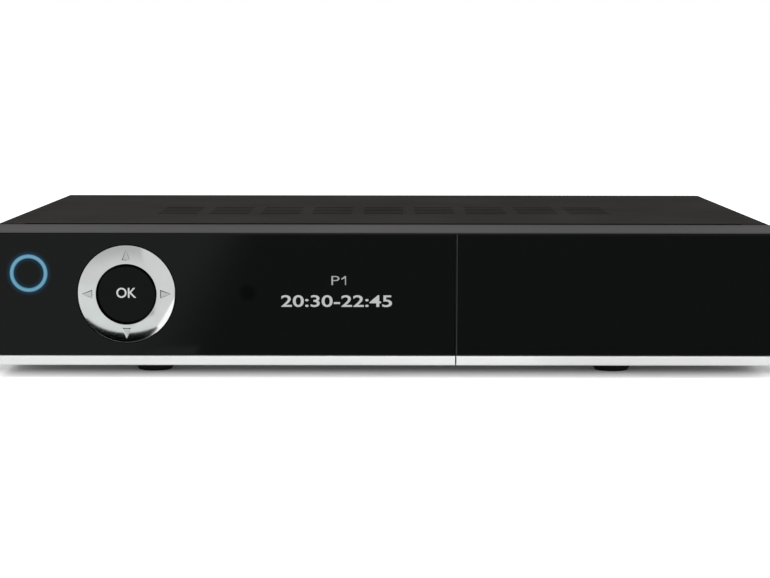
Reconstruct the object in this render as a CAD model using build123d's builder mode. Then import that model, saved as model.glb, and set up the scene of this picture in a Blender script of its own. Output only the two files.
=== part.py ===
"""Compact satellite receiver in millimetres.

A folded steel housing carries a moulded front with a drop-down flap, a power key with a light
ring, a four-way ring with a centre key, a display, the boards behind them, and the sockets of
the rear wall. +Z is up and the front faces -Y. The origin lies on the resting plane, under the
middle of the receiver.
"""
import os

from build123d import *

# ---------------------------------------------------------------- overall sizes
body_width = 282.0  # steel cover, outside
total_height = 56.0  # resting plane to the top of the cover
total_depth = 190.0  # crown of the four-way ring to the tips of the aerial sockets
foot_height = 5.0
sheet = 0.8  # steel thickness of cover and pan
front_overhang = 0.8  # moulded front past the cover, each side
ring_crown = 1.2  # four-way ring past the fascia
aerial_reach = 10.0  # aerial sockets past the rear wall

# ---------------------------------------------------------------- clearances
slip = 0.1  # between fixed pieces that slide together
running = 0.05  # radial, in a bore that turns or slides
panel_gap = 0.25  # between the moving flap and what is fixed
key_gap = 0.4  # radial, round the tilting four-way ring

# ---------------------------------------------------------------- front sizes
fascia_thickness = 2.0
front_wall = 2.0  # wall of the moulded front behind the fascia
band_depth = 6.0  # sloping band, front to back
band_drop = 2.4  # sloping band, top to bottom
band_lip = 0.35  # straight lip under the band
band_round = 0.5  # rounding between band and lip
lip_setback = 0.2  # lip behind the fascia's face
cover_step = 0.4  # cover's top above the band's upper edge
strip_height = 3.45  # bright strip along the bottom of the front
strip_bottom = 4.7  # its lower edge above the resting plane
fascia_seam = 0.2  # between strip and fascia
band_seam = 0.25  # between fascia and band
tongue_depth = 7.0  # rim of the moulded front inside the cover
tongue_wall = 1.8
split_x = 26.4  # seam between fascia and flap
split_seam = 0.5

# ---------------------------------------------------------------- keys
power_inset, power_z = 12.6, 38.2  # across: from the cover's left side
power_ring_radius = 6.85
power_ring_width = 1.4
ring_pitch, ring_z = 35.4, 30.7  # across: from the power key
ring_radius = 17.6
ok_radius = 10.5
key_travel = 0.8
tilt_pivot_depth = 5.2  # four-way ring's tilt axes behind the fascia's face
display_inset, display_z = 42.9, 31.5  # across: from the seam beside the flap
display_size = (50.0, 20.0)
infrared_inset, infrared_z = 32.6, 31.1  # across: from the middle of the display
infrared_radius = 3.3
board_depth = 13.6  # key board behind the fascia's face
board_thickness = 1.6

# ---------------------------------------------------------------- rear wall positions
socket_lift = 8.0  # middle of the round sockets above the main board
aerial_insets = (55.0, 29.0)  # from the cover's right side
switch_inset, inlet_inset = 49.0, 23.0  # from the cover's left side

# ---------------------------------------------------------------- worked out from the above
front_tip = -total_depth / 2
face_y = front_tip + ring_crown
seat_y = face_y + fascia_thickness
wall_y = seat_y + front_wall
cover_front_y = face_y + band_depth
tongue_y = cover_front_y + tongue_depth
rear_y = total_depth / 2 - aerial_reach
board_y = face_y + board_depth
front_half = body_width / 2 + front_overhang
inside_half = body_width / 2 - sheet
pan_z = foot_height
floor_z = pan_z + sheet
ceiling_z = total_height - sheet
band_top_z = total_height - cover_step
band_low_z = band_top_z - band_drop
lip_z = band_low_z - band_lip
fascia_top_z = lip_z - band_seam
strip_top_z = strip_bottom + strip_height
fascia_bottom_z = strip_top_z + fascia_seam
fascia_right = split_x - split_seam / 2
flap_left = split_x + split_seam / 2
rear_inner_y = rear_y - sheet
board_back_y = board_y + board_thickness
power_x = -body_width / 2 + power_inset
ring_x = power_x + ring_pitch
display_x = split_x - display_inset
infrared_x = display_x - infrared_inset
aerial_xs = [body_width / 2 - inset for inset in aerial_insets]
switch_x = -body_width / 2 + switch_inset
inlet_x = -body_width / 2 + inlet_inset


def front_plane(y):
    """Plane across the receiver at depth y, facing the viewer, with X across and Z up."""
    return Plane.XZ.offset(-y)


def span(low, high):
    """Middle and length of a stretch."""
    return (low + high) / 2, high - low


def block(x, y, z, mode=Mode.ADD):
    """Adds a box that runs between (low, high) pairs along X, Y and Z to the part being built."""
    (mid_x, long_x), (mid_y, long_y), (mid_z, long_z) = span(*x), span(*y), span(*z)
    with Locations((mid_x, mid_y, mid_z)):
        Box(long_x, long_y, long_z, mode=mode)


on_floor = (Align.CENTER, Align.CENTER, Align.MIN)  # stands a shape on its location
hung_below = (Align.CENTER, Align.CENTER, Align.MAX)  # hangs a shape under its location


def rod(x, z, y, radius, mode=Mode.ADD):
    """Adds a cylinder along Y, between the depths in y, to the part being built."""
    mid_y, long_y = span(*y)
    with Locations(Location((x, mid_y, z), (90, 0, 0))):
        Cylinder(radius, long_y, mode=mode)


# ================================================================ sheet-metal housing
cover_corner = 2.0  # outside radius of the folded corners
cover_lip = 8.0  # fold that hangs over the rear wall
vent_columns, vent_rows = 9, 5
vent_length, vent_width = 16.0, 2.4
vent_pitch_x, vent_pitch_y = 20.0, 9.0
vent_field_y = -17.0  # middle of the slots in the top
side_vent_count, side_vent_pitch = 16, 7.0
side_vent_height, side_vent_width = 20.0, 2.6
side_vent_z = 34.0
cover_screw_radius = 1.45
cover_screw_inset = 17.0

cover_back_y = rear_y + slip + sheet
cover_length = cover_back_y - cover_front_y
cover_screw_x = body_width / 2 - cover_screw_inset
cover_screw_points = [
    (x, total_height - cover_lip / 2 - sheet / 2) for x in (-cover_screw_x, 0, cover_screw_x)
]

with BuildPart() as top_cover:
    with BuildSketch(front_plane(cover_back_y)):
        with Locations((0, (total_height + pan_z) / 2)):
            Rectangle(body_width, total_height - pan_z)
        corners = vertices().group_by(Axis.Y)[-1]
        fillet(corners, cover_corner)
    extrude(amount=cover_length)
    with BuildSketch(front_plane(cover_back_y - sheet)):
        with Locations((0, (ceiling_z + pan_z - sheet) / 2)):
            Rectangle(2 * inside_half, ceiling_z - pan_z + sheet)
        inner_corners = vertices().group_by(Axis.Y)[-1]
        fillet(inner_corners, cover_corner - sheet)
    extrude(amount=cover_length, mode=Mode.SUBTRACT)
    with BuildSketch(front_plane(cover_back_y)):
        with Locations((0, (total_height - cover_lip + pan_z - sheet) / 2)):
            Rectangle(body_width + 2, total_height - cover_lip - pan_z + sheet)
    extrude(amount=sheet + slip, mode=Mode.SUBTRACT)
    with BuildSketch(Plane.XY.offset(total_height)):
        with Locations((0, vent_field_y)):
            with GridLocations(vent_pitch_x, vent_pitch_y, vent_columns, vent_rows):
                SlotOverall(vent_length, vent_width)
    extrude(amount=-sheet, mode=Mode.SUBTRACT)
    with BuildSketch(Plane.YZ.offset(body_width / 2)):
        with Locations((0, side_vent_z)):
            with GridLocations(side_vent_pitch, side_vent_height, side_vent_count, 1):
                SlotOverall(side_vent_height, side_vent_width, rotation=90)
    extrude(amount=-body_width, mode=Mode.SUBTRACT)
    with BuildSketch(front_plane(cover_back_y)):
        with Locations(*cover_screw_points):
            Circle(cover_screw_radius + slip)
    extrude(amount=sheet, mode=Mode.SUBTRACT)

# ---------------------------------------------------------------- socket and board sizes
board_lift = 5.2  # standoffs
board_z = floor_z + board_lift
board_top_z = board_z + board_thickness
socket_z = board_top_z + socket_lift
socket_proud = 0.5  # flat sockets stand out of the rear wall by this
socket_face_y = rear_y + socket_proud
cutout_gap = 0.3  # round each socket in the rear wall
usb_outer, usb_mouth, usb_length = (13.6, 6.6), (12.4, 5.2), 15.0
lan_outer, lan_mouth, lan_length = (16.0, 13.6), (11.8, 8.2), 21.0
hdmi_outer, hdmi_mouth, hdmi_length = (15.4, 6.2), (14.0, 4.7), 11.5
optical_outer, optical_mouth, optical_length = (10.0, 10.4), 7.8, 14.0
optical_depth, shutter_setback = 12.0, 3.6  # both from the socket's face
coax_outer, coax_radius, coax_length, coax_reach = (10.4, 13.0), 4.15, 10.0, 8.0
coax_collar_radius = 4.7  # passes through the rear wall
aerial_radius, aerial_nut_height = 4.76, 2.4
aerial_base_radius = 5.2  # passes through the rear wall and carries the nut
inlet_body, inlet_flange, inlet_length = (19.0, 11.0), (23.0, 15.0), 22.0
inlet_z = 24.0
switch_body, switch_flange, switch_length = (12.6, 18.8), (15.0, 21.2), 16.0
switch_z = 24.0
pan_edge_gap = 0.15
pan_side_height = 14.0
foot_radius, foot_inset_x, foot_inset_y = 7.0, 55.5, 25.0
foot_peg_radius = 2.4
foot_peg_height = 1.6
rear_foot_inset = 19.0
wall_vent_xs = (-30.0, 60.0)
wall_vent_z = 41.0
wall_vent_count, wall_vent_pitch = 9, 5.0
wall_vent_height, wall_vent_width = 12.0, 2.2
floor_vent_columns, floor_vent_rows = 8, 5
floor_vent_pitch_x, floor_vent_pitch_y = 24.0, 16.0
floor_vent_length, floor_vent_width = 14.0, 2.4
front_screw_inset = (41.0, 3.6)  # from the cover's sides and front edge
front_screw_x = body_width / 2 - front_screw_inset[0]
front_screw_xs = (-front_screw_x, 0, front_screw_x)
front_screw_y = cover_front_y + front_screw_inset[1]
front_screw_radius = 1.45
standoff_radius = 3.0
standoff_hole = 1.3

psu_side_gap, main_side_gap, boards_gap = 6.2, 8.2, 4.0
psu_board_width = 68.0
psu_front_gap, main_front_gap, board_rear_gap = 8.6, 0.6, 1.0
psu_board_x = (-inside_half + psu_side_gap, -inside_half + psu_side_gap + psu_board_width)
psu_board_y = (board_back_y + psu_front_gap, rear_inner_y - board_rear_gap)
main_board_x = (psu_board_x[1] + boards_gap, inside_half - main_side_gap)
main_board_y = (board_back_y + main_front_gap, rear_inner_y - board_rear_gap)
standoff_insets = (5.0, 14.0)  # from a board's ends and from its front and rear edges
tuner_length, tuner_end = 46.0, 12.0  # its end walls stand past the aerial sockets
tuner_x = (aerial_xs[0] - tuner_end, aerial_xs[1] + tuner_end)

# the flat sockets stand along the rear edge with even gaps, from the board's end to the tuner
socket_row_inset = 9.0
socket_widths = [size[0] for size in (optical_outer, coax_outer, hdmi_outer, lan_outer, usb_outer)]
row_left = main_board_x[0] + socket_row_inset
row_gap = (tuner_x[0] - row_left - sum(socket_widths)) / len(socket_widths)
optical_x, coax_x, hdmi_x, lan_x, usb_x = [
    row_left + sum(socket_widths[:place]) + place * row_gap + width / 2
    for place, width in enumerate(socket_widths)
]


def corner_points(x_range, y_range, insets):
    """Four corners of a board, inset from its edges."""
    xs = (x_range[0] + insets[0], x_range[1] - insets[0])
    ys = (y_range[0] + insets[1], y_range[1] - insets[1])
    return [(x, y) for x in xs for y in ys]


standoff_points = (
    corner_points(main_board_x, main_board_y, standoff_insets)
    + corner_points(psu_board_x, psu_board_y, standoff_insets)
)
foot_points = [
    (side * (body_width / 2 - foot_inset_x), y)
    for side in (-1, 1)
    for y in (face_y + foot_inset_y, rear_y - rear_foot_inset)
]

pan_half = inside_half - pan_edge_gap
pan_front_y = cover_front_y + 0.3
wall_top_z = ceiling_z - slip

with BuildPart() as chassis_pan:
    with BuildSketch(Plane.XY.offset(pan_z)):
        floor_mid_y, floor_length = span(pan_front_y, rear_y)
        with Locations((0, floor_mid_y)):
            Rectangle(2 * pan_half, floor_length)
        with Locations(*foot_points):
            Circle(foot_peg_radius, mode=Mode.SUBTRACT)
        with Locations(*[(x, front_screw_y) for x in front_screw_xs]):
            Circle(front_screw_radius + slip, mode=Mode.SUBTRACT)
        with GridLocations(
            floor_vent_pitch_x, floor_vent_pitch_y, floor_vent_columns, floor_vent_rows
        ):
            SlotOverall(floor_vent_length, floor_vent_width, mode=Mode.SUBTRACT)
    extrude(amount=sheet)
    # rear wall, folded up from the floor
    with BuildSketch(front_plane(rear_y)) as rear_wall:
        wall_mid_z, wall_height = span(pan_z, wall_top_z)
        with Locations((0, wall_mid_z)):
            Rectangle(2 * pan_half, wall_height)
        fillet(rear_wall.vertices().group_by(Axis.Y)[-1], cover_corner - sheet)
        for socket_x, socket_outer in (
            (usb_x, usb_outer),
            (lan_x, lan_outer),
            (hdmi_x, hdmi_outer),
            (optical_x, optical_outer),
        ):
            with Locations((socket_x, board_top_z + socket_outer[1] / 2)):
                Rectangle(*[s + 2 * cutout_gap for s in socket_outer], mode=Mode.SUBTRACT)
        with Locations((coax_x, socket_z)):
            Circle(coax_collar_radius + cutout_gap, mode=Mode.SUBTRACT)
        with Locations(*[(x, socket_z) for x in aerial_xs]):
            Circle(aerial_base_radius + cutout_gap, mode=Mode.SUBTRACT)
        with Locations((inlet_x, inlet_z)):
            Rectangle(*[s + 2 * slip for s in inlet_body], mode=Mode.SUBTRACT)
        with Locations((switch_x, switch_z)):
            Rectangle(*[s + 2 * slip for s in switch_body], mode=Mode.SUBTRACT)
        with Locations(*cover_screw_points):
            Circle(cover_screw_radius, mode=Mode.SUBTRACT)
        for vent_x in wall_vent_xs:
            with Locations((vent_x, wall_vent_z)):
                with GridLocations(wall_vent_pitch, 1, wall_vent_count, 1):
                    SlotOverall(
                        wall_vent_height, wall_vent_width, rotation=90, mode=Mode.SUBTRACT
                    )
    extrude(amount=sheet)
    # low side walls, inside the cover
    for side in (-1, 1):
        edge_x = sorted((side * pan_half, side * (pan_half - sheet)))
        block(edge_x, (tongue_y + 1.0, rear_y), (pan_z, pan_z + pan_side_height))

with BuildPart() as feet:
    with BuildSketch(Plane.XZ) as foot_profile:
        with BuildLine():
            Polyline(
                (0, 0),
                (foot_radius - 0.9, 0),
                (foot_radius, 1.4),
                (foot_radius, foot_height),
                (foot_peg_radius, foot_height),
                (foot_peg_radius, foot_height + foot_peg_height),
                (0, foot_height + foot_peg_height),
                close=True,
            )
        make_face()
    one_foot = revolve(axis=Axis.Z, mode=Mode.PRIVATE)
    with Locations(*foot_points):
        add(one_foot)

screw_head_radius, screw_head_height = 2.8, 1.7
front_screw_head_height = 1.2  # flatter, so that it clears the strip's lower edge from the front
cover_screw_reach, front_screw_reach = 5.0, 4.4
with BuildPart() as case_screws:
    for x, z in cover_screw_points:
        rod(x, z, (rear_y - cover_screw_reach, cover_back_y), cover_screw_radius)
        rod(x, z, (cover_back_y, cover_back_y + screw_head_height), screw_head_radius)
    heads = case_screws.faces().filter_by(Axis.Y).group_by(Axis.Y)[-1].edges()
    fillet(heads, 0.7)
    for x in front_screw_xs:
        with Locations((x, front_screw_y, pan_z)):
            Cylinder(screw_head_radius, front_screw_head_height, align=hung_below)
            Cylinder(front_screw_radius, front_screw_reach, align=on_floor)

with BuildPart() as standoffs:
    with Locations(*[(x, y, (floor_z + board_z) / 2) for x, y in standoff_points]):
        Cylinder(standoff_radius, board_z - floor_z)
        Cylinder(standoff_hole, board_z - floor_z, mode=Mode.SUBTRACT)

# ================================================================ moulded front
recess_insets = (2.35, 2.0)  # walls of the recess behind the flap, from flap and cover
recess_left = flap_left + recess_insets[0]
recess_right = inside_half - recess_insets[1]
recess_bottom = 5.9
recess_top = 50.4
hinge_y, hinge_z = face_y + 3.9, 6.8
hinge_radius = 1.8
pin_radius = 1.0
ear_length = 2.5
barrel_length = 9.0
ear_gap = 0.25
divider_x = (recess_left - 3.4, recess_left - 1.4)
tongue_half = inside_half - 0.2
tongue_low = floor_z + slip
tongue_high = ceiling_z - 0.2
magnet_size = (9.0, 4.0, 3.0)
magnet_x = (recess_left + recess_right) / 2
magnet_z = 47.4
strike_thickness = 0.8
frame_thickness = 1.4
frame_back_y = seat_y + frame_thickness
magnet_y = frame_back_y + strike_thickness + 0.3
ring_hole = ring_radius + key_gap
boss_wall = 2.0
boss_step, boss_depth = 3.9, 8.2  # stop of the ring and end of the sleeve, behind the face
boss_step_y = face_y + boss_step
boss_narrow = 16.4
boss_end_y = face_y + boss_depth
gimbal_pin_radius = 0.8
tilt_y = face_y + tilt_pivot_depth
board_boss_radius = 3.2
key_board_side_gap, key_board_end_gap = 3.2, 0.6
key_board_x = (-inside_half + key_board_side_gap, divider_x[0] - key_board_end_gap)
key_board_z = (9.4, 51.4)
board_boss_inset_x, board_boss_inset_z = 5.0, 7.2
board_boss_points = [
    (key_board_x[0] + board_boss_inset_x, key_board_z[0] + board_boss_inset_z),
    ((power_x + ring_x) / 2 - 1.3, key_board_z[1] - 4.0),
    (key_board_x[1] - board_boss_inset_x, key_board_z[0] + board_boss_inset_z),
    (key_board_x[1] - board_boss_inset_x, key_board_z[1] - board_boss_inset_z),
]
front_boss_radius = 3.0
front_boss_height = 4.0
light_flange_radius = power_ring_radius + 1.2
light_flange_y = (wall_y, wall_y + 1.0)
display_glass_size = (53.0, 24.0)
display_glass_thickness, display_board_thickness = 2.2, 1.4
display_glass_y = (wall_y, wall_y + display_glass_thickness)
display_rim = 1.2
display_board_size = (55.0, 28.0)
display_board_y = (display_glass_y[1], display_glass_y[1] + display_board_thickness)

with BuildPart() as front_bezel:
    with BuildSketch(Plane.YZ.offset(-front_half)):
        with BuildLine():
            Polyline(
                (cover_front_y, strip_bottom),
                (cover_front_y, band_top_z),
                (face_y + lip_setback, band_low_z),
                (face_y + lip_setback, lip_z),
                (seat_y, lip_z),
                (seat_y, strip_bottom),
                close=True,
            )
        make_face()
    extrude(amount=2 * front_half)
    band_edges = front_bezel.edges().filter_by(Axis.X)
    fillet(band_edges.sort_by_distance((0, face_y + lip_setback, band_low_z))[0], band_round)
    # rim that enters the cover
    with BuildSketch(front_plane(tongue_y)) as tongue_outline:
        with Locations((0, (tongue_low + tongue_high) / 2)):
            Rectangle(2 * tongue_half, tongue_high - tongue_low)
        fillet(tongue_outline.vertices().group_by(Axis.Y)[-1], cover_corner)
    extrude(amount=tongue_y - cover_front_y)
    with BuildSketch(front_plane(tongue_y)):
        with Locations((0, (tongue_low + tongue_high) / 2)):
            Rectangle(
                2 * (tongue_half - tongue_wall), tongue_high - tongue_low - 2 * tongue_wall
            )
    extrude(amount=tongue_y - wall_y, mode=Mode.SUBTRACT)
    # recess and seat of the flap
    block((flap_left - panel_gap, front_half + 1), (face_y - 1, seat_y + panel_gap),
          (strip_bottom - 1, lip_z), mode=Mode.SUBTRACT)
    block((recess_left, recess_right), (face_y, cover_front_y), (recess_bottom, recess_top),
          mode=Mode.SUBTRACT)
    block((flap_left - panel_gap, front_half + 1), (face_y, cover_front_y),
          (strip_bottom - 1, hinge_z), mode=Mode.SUBTRACT)
    block(divider_x, (wall_y, tongue_y), (tongue_low + 1, tongue_high - 1))
    # hinge ears and the lower ends of the recess walls, rounded about the hinge axis
    ear_reach = hinge_y - seat_y - panel_gap
    for low_x, high_x in (
        (flap_left - panel_gap, recess_left + ear_length),
        (recess_right - ear_length, front_half),
    ):
        with BuildSketch(Plane.YZ.offset(low_x)):
            with Locations((hinge_y, hinge_z)):
                Circle(ear_reach)
            ear_mid, ear_run = span(hinge_y, cover_front_y)
            with Locations((ear_mid, hinge_z)):
                Rectangle(ear_run, 2 * ear_reach)
        extrude(amount=high_x - low_x)
    with Locations(*[
        Location((x, hinge_y, hinge_z), (0, 90, 0))
        for x in (recess_left + ear_length / 2, recess_right - ear_length / 2)
    ]):
        Cylinder(pin_radius + running, ear_length, mode=Mode.SUBTRACT)
    # holder of the flap's magnet
    block((magnet_x - magnet_size[0] / 2 - 1.2, magnet_x + magnet_size[0] / 2 + 1.2),
          (magnet_y, magnet_y + magnet_size[2] + 1.0),
          (magnet_z - magnet_size[1] / 2 - 1.2, tongue_high - 1))
    block((magnet_x - magnet_size[0] / 2, magnet_x + magnet_size[0] / 2),
          (magnet_y, magnet_y + magnet_size[2]),
          (magnet_z - magnet_size[1] / 2, magnet_z + magnet_size[1] / 2), mode=Mode.SUBTRACT)
    # four-way ring: sleeve behind the wall, stepped so that the ring stops on it
    rod(ring_x, ring_z, (seat_y + 0.5, boss_end_y), ring_hole + boss_wall)
    rod(ring_x, ring_z, (face_y, boss_step_y), ring_hole, mode=Mode.SUBTRACT)
    rod(ring_x, ring_z, (boss_step_y, boss_end_y), boss_narrow, mode=Mode.SUBTRACT)
    with Locations(Location((ring_x, tilt_y, ring_z), (0, 90, 0))):
        Cylinder(gimbal_pin_radius + running, 2 * (boss_narrow + 1.4), mode=Mode.SUBTRACT)
    # power key, remote-control window and display
    rod(power_x, power_z, (face_y, tongue_y), power_ring_radius + running, mode=Mode.SUBTRACT)
    rod(infrared_x, infrared_z, (face_y, tongue_y), infrared_radius + running,
        mode=Mode.SUBTRACT)
    with BuildSketch(front_plane(tongue_y)):
        with Locations((display_x, display_z)):
            Rectangle(*display_size)
    extrude(amount=tongue_depth + band_depth, mode=Mode.SUBTRACT)
    with BuildSketch(front_plane(display_board_y[1])):
        with Locations((display_x, display_z)):
            Rectangle(*[s + 2 * (slip + display_rim) for s in display_board_size])
            Rectangle(*[s + 2 * slip for s in display_board_size], mode=Mode.SUBTRACT)
    extrude(amount=display_board_y[1] - wall_y)
    for boss_x, boss_z in board_boss_points:
        rod(boss_x, boss_z, (wall_y, board_y), board_boss_radius)
        rod(boss_x, boss_z, (wall_y + 1, board_y), standoff_hole, mode=Mode.SUBTRACT)
    # bosses over the screws from below
    for boss_x in front_screw_xs:
        with Locations((boss_x, front_screw_y, tongue_low + front_boss_height / 2)):
            Cylinder(front_boss_radius, front_boss_height)
            Cylinder(front_screw_radius, front_boss_height, mode=Mode.SUBTRACT)

with BuildPart() as fascia:
    with BuildSketch(front_plane(seat_y)) as fascia_outline:
        fascia_mid_x, fascia_width = span(-front_half, fascia_right)
        fascia_mid_z, fascia_height = span(fascia_bottom_z, fascia_top_z)
        with Locations((fascia_mid_x, fascia_mid_z)):
            Rectangle(fascia_width, fascia_height)
        fillet(fascia_outline.vertices().group_by(Axis.X)[0], 1.0)
        with Locations((power_x, power_z)):
            Circle(power_ring_radius + running, mode=Mode.SUBTRACT)
        with Locations((ring_x, ring_z)):
            Circle(ring_hole, mode=Mode.SUBTRACT)
    extrude(amount=fascia_thickness)
    chamfer(fascia.faces().sort_by(Axis.Y)[0].outer_wire().edges(), 0.3)


def strip(low_x, high_x):
    """Bright strip with rounded front edges, between two places across the front."""
    with BuildPart() as bar:
        with BuildSketch(Plane.YZ.offset(low_x)):
            with Locations(((face_y + seat_y) / 2, (strip_bottom + strip_top_z) / 2)):
                Rectangle(fascia_thickness, strip_height)
        extrude(amount=high_x - low_x)
        long_edges = bar.edges().filter_by(Axis.X).group_by(Axis.Y)[0]
        fillet(long_edges, 0.5)
    return bar.part


with BuildPart() as fascia_strip:
    add(strip(-front_half, fascia_right))

# ================================================================ flap
with BuildPart() as flap_skin:
    with BuildSketch(front_plane(seat_y)) as skin_outline:
        skin_mid_x, skin_width = span(flap_left, front_half)
        with Locations((skin_mid_x, fascia_mid_z)):
            Rectangle(skin_width, fascia_height)
        fillet(skin_outline.vertices().group_by(Axis.X)[-1], 1.0)
    extrude(amount=fascia_thickness)
    chamfer(flap_skin.faces().sort_by(Axis.Y)[0].outer_wire().edges(), 0.3)

with BuildPart() as flap_strip:
    add(strip(flap_left, front_half))

frame_left = recess_left + 0.4
frame_right = recess_right - 0.4
frame_bottom = hinge_z - hinge_radius
rib_zs, rib_size = (14.0, 40.0), (0.8, 1.2)  # heights; depth and height of each rib
barrel_start = recess_left + ear_length + ear_gap
barrel_end = recess_right - ear_length - ear_gap
with BuildPart() as flap_frame:
    with BuildSketch(front_plane(frame_back_y)):
        frame_mid_x, frame_width = span(frame_left, frame_right)
        frame_mid_z, frame_height = span(frame_bottom, recess_top - 0.4)
        with Locations((frame_mid_x, frame_mid_z)):
            Rectangle(frame_width, frame_height)
        notch = ear_length + ear_gap
        for notch_x in (frame_left, frame_right):
            with Locations((notch_x, frame_bottom)):
                Rectangle(2 * (notch - 0.4), 2 * (hinge_radius + 2.2), mode=Mode.SUBTRACT)
    extrude(amount=frame_thickness)
    for barrel_x in (barrel_start, barrel_end - barrel_length):
        with BuildSketch(Plane.YZ.offset(barrel_x)):
            with Locations((hinge_y, hinge_z)):
                Circle(hinge_radius)
            with Locations(((seat_y + hinge_y) / 2, hinge_z)):
                Rectangle(hinge_y - seat_y, 2 * hinge_radius)
        extrude(amount=barrel_length)
    with Locations(Location((frame_mid_x, hinge_y, hinge_z), (0, 90, 0))):
        Cylinder(pin_radius, frame_width + 1, mode=Mode.SUBTRACT)
    # stiffening ribs across the back
    rib_low_x = barrel_start + barrel_length + 2
    rib_high_x = barrel_end - barrel_length - 2
    for rib_z in rib_zs:
        block((rib_low_x, rib_high_x), (frame_back_y, frame_back_y + rib_size[0]),
              (rib_z, rib_z + rib_size[1]))

with BuildPart() as hinge_pins:
    for low_x, high_x in (
        (recess_left + 0.2, barrel_start + barrel_length),
        (barrel_end - barrel_length, recess_right - 0.2),
    ):
        with Locations(Location(((low_x + high_x) / 2, hinge_y, hinge_z), (0, 90, 0))):
            Cylinder(pin_radius, high_x - low_x)

with BuildPart() as strike_plate:
    block((magnet_x - 6, magnet_x + 6), (frame_back_y, frame_back_y + strike_thickness),
          (magnet_z - 2.6, magnet_z + 2.6))
    fillet(strike_plate.edges().filter_by(Axis.Y), 0.8)

with BuildPart() as latch_magnet:
    block((magnet_x - magnet_size[0] / 2, magnet_x + magnet_size[0] / 2),
          (magnet_y, magnet_y + magnet_size[2]),
          (magnet_z - magnet_size[1] / 2, magnet_z + magnet_size[1] / 2))

# ================================================================ panel and readers behind the flap
slot_panel_setback, slot_panel_thickness = 10.0, 1.6
slot_panel_y = (
    face_y + slot_panel_setback, face_y + slot_panel_setback + slot_panel_thickness
)
ci_width, ci_slot_height = 59.0, 6.0
ci_inset = 34.0  # middle of the module cage from the recess's wall
ci_mid_x = recess_left + ci_inset
ci_height, ci_length = 10.0, 96.0
ci_wall, ci_back = 0.6, 8.0
ci_slot_width = 55.6
ci_z = board_top_z + ci_height / 2
card_slot_width, card_slot_height = 55.4, 2.4
card_reader_size = (60.0, 52.0, 6.6)
card_board_z = board_top_z + ci_height + 3.0  # on its spacers
card_board_thickness = 1.2
card_z = card_board_z + card_board_thickness + card_reader_size[2] / 2
front_usb_inset = 87.0
front_usb_x = recess_left + front_usb_inset
eject_gap = 3.6  # middle of the eject rod from the cage
eject_x = ci_mid_x + ci_width / 2 + eject_gap
eject_size = (4.4, 4.4)
eject_reach = 3.6
eject_rod_length = 52.0
guide_places, guide_depth, guide_wall = (14.0, 44.0), 5.0, 1.2

with BuildPart() as slot_panel:
    with BuildSketch(front_plane(slot_panel_y[1])):
        panel_mid_x, panel_width = span(divider_x[1] + slip, tongue_half - tongue_wall - slip)
        panel_mid_z, panel_height = span(
            tongue_low + tongue_wall + slip, tongue_high - tongue_wall - slip
        )
        with Locations((panel_mid_x, panel_mid_z)):
            Rectangle(panel_width, panel_height)
        with Locations((ci_mid_x, ci_z)):
            Rectangle(ci_slot_width, ci_slot_height, mode=Mode.SUBTRACT)
        with Locations((ci_mid_x, card_z)):
            Rectangle(card_slot_width, card_slot_height, mode=Mode.SUBTRACT)
        with Locations((front_usb_x, board_top_z + usb_outer[1] / 2)):
            Rectangle(*[s + 2 * cutout_gap for s in usb_outer], mode=Mode.SUBTRACT)
        with Locations((eject_x, ci_z)):
            Rectangle(*[s + 2 * slip for s in eject_size], mode=Mode.SUBTRACT)
        # notch over the boss of the right-hand screw
        with Locations((front_screw_xs[-1], panel_mid_z - panel_height / 2)):
            Rectangle(
                2 * (front_boss_radius + slip),
                2 * (front_boss_height - tongue_wall),
                mode=Mode.SUBTRACT,
            )
    extrude(amount=slot_panel_y[1] - slot_panel_y[0])

with BuildPart() as ci_cage:
    with BuildSketch(front_plane(slot_panel_y[1] + ci_length)):
        with Locations((ci_mid_x, ci_z)):
            Rectangle(ci_width, ci_height)
    extrude(amount=ci_length)
    with BuildSketch(front_plane(slot_panel_y[1])):
        with Locations((ci_mid_x, ci_z)):
            Rectangle(ci_slot_width, ci_height - 2 * ci_wall)
    extrude(amount=ci_back - ci_length, mode=Mode.SUBTRACT)
    # rails that keep the module level
    for side in (-1, 1):
        for low_z, high_z in (
            (ci_z - ci_height / 2, ci_z - ci_slot_height / 2),
            (ci_z + ci_slot_height / 2, ci_z + ci_height / 2),
        ):
            rail_x = sorted(
                (ci_mid_x + side * ci_slot_width / 2, ci_mid_x + side * (ci_slot_width / 2 - 4))
            )
            block(rail_x, (slot_panel_y[1], slot_panel_y[1] + ci_length - ci_back),
                  (low_z, high_z))
    # guides of the ejector rod
    for guide_place in guide_places:
        guide_y = slot_panel_y[1] + guide_place
        guide_x = (ci_mid_x + ci_width / 2, eject_x + eject_size[0] / 2 + guide_wall)
        guide_top_z = ci_z + eject_size[1] / 2 + guide_wall
        block(guide_x, (guide_y, guide_y + guide_depth), (board_top_z, guide_top_z))
    block((eject_x - eject_size[0] / 2 - slip, eject_x + eject_size[0] / 2 + slip),
          (slot_panel_y[1], slot_panel_y[1] + ci_length),
          (ci_z - eject_size[1] / 2 - slip, ci_z + eject_size[1] / 2 + slip),
          mode=Mode.SUBTRACT)

with BuildPart() as ci_eject_button:
    block((eject_x - eject_size[0] / 2, eject_x + eject_size[0] / 2),
          (slot_panel_y[0] - eject_reach, slot_panel_y[1] + eject_rod_length),
          (ci_z - eject_size[1] / 2, ci_z + eject_size[1] / 2))
    fillet(ci_eject_button.faces().sort_by(Axis.Y)[0].edges(), 0.6)

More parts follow.
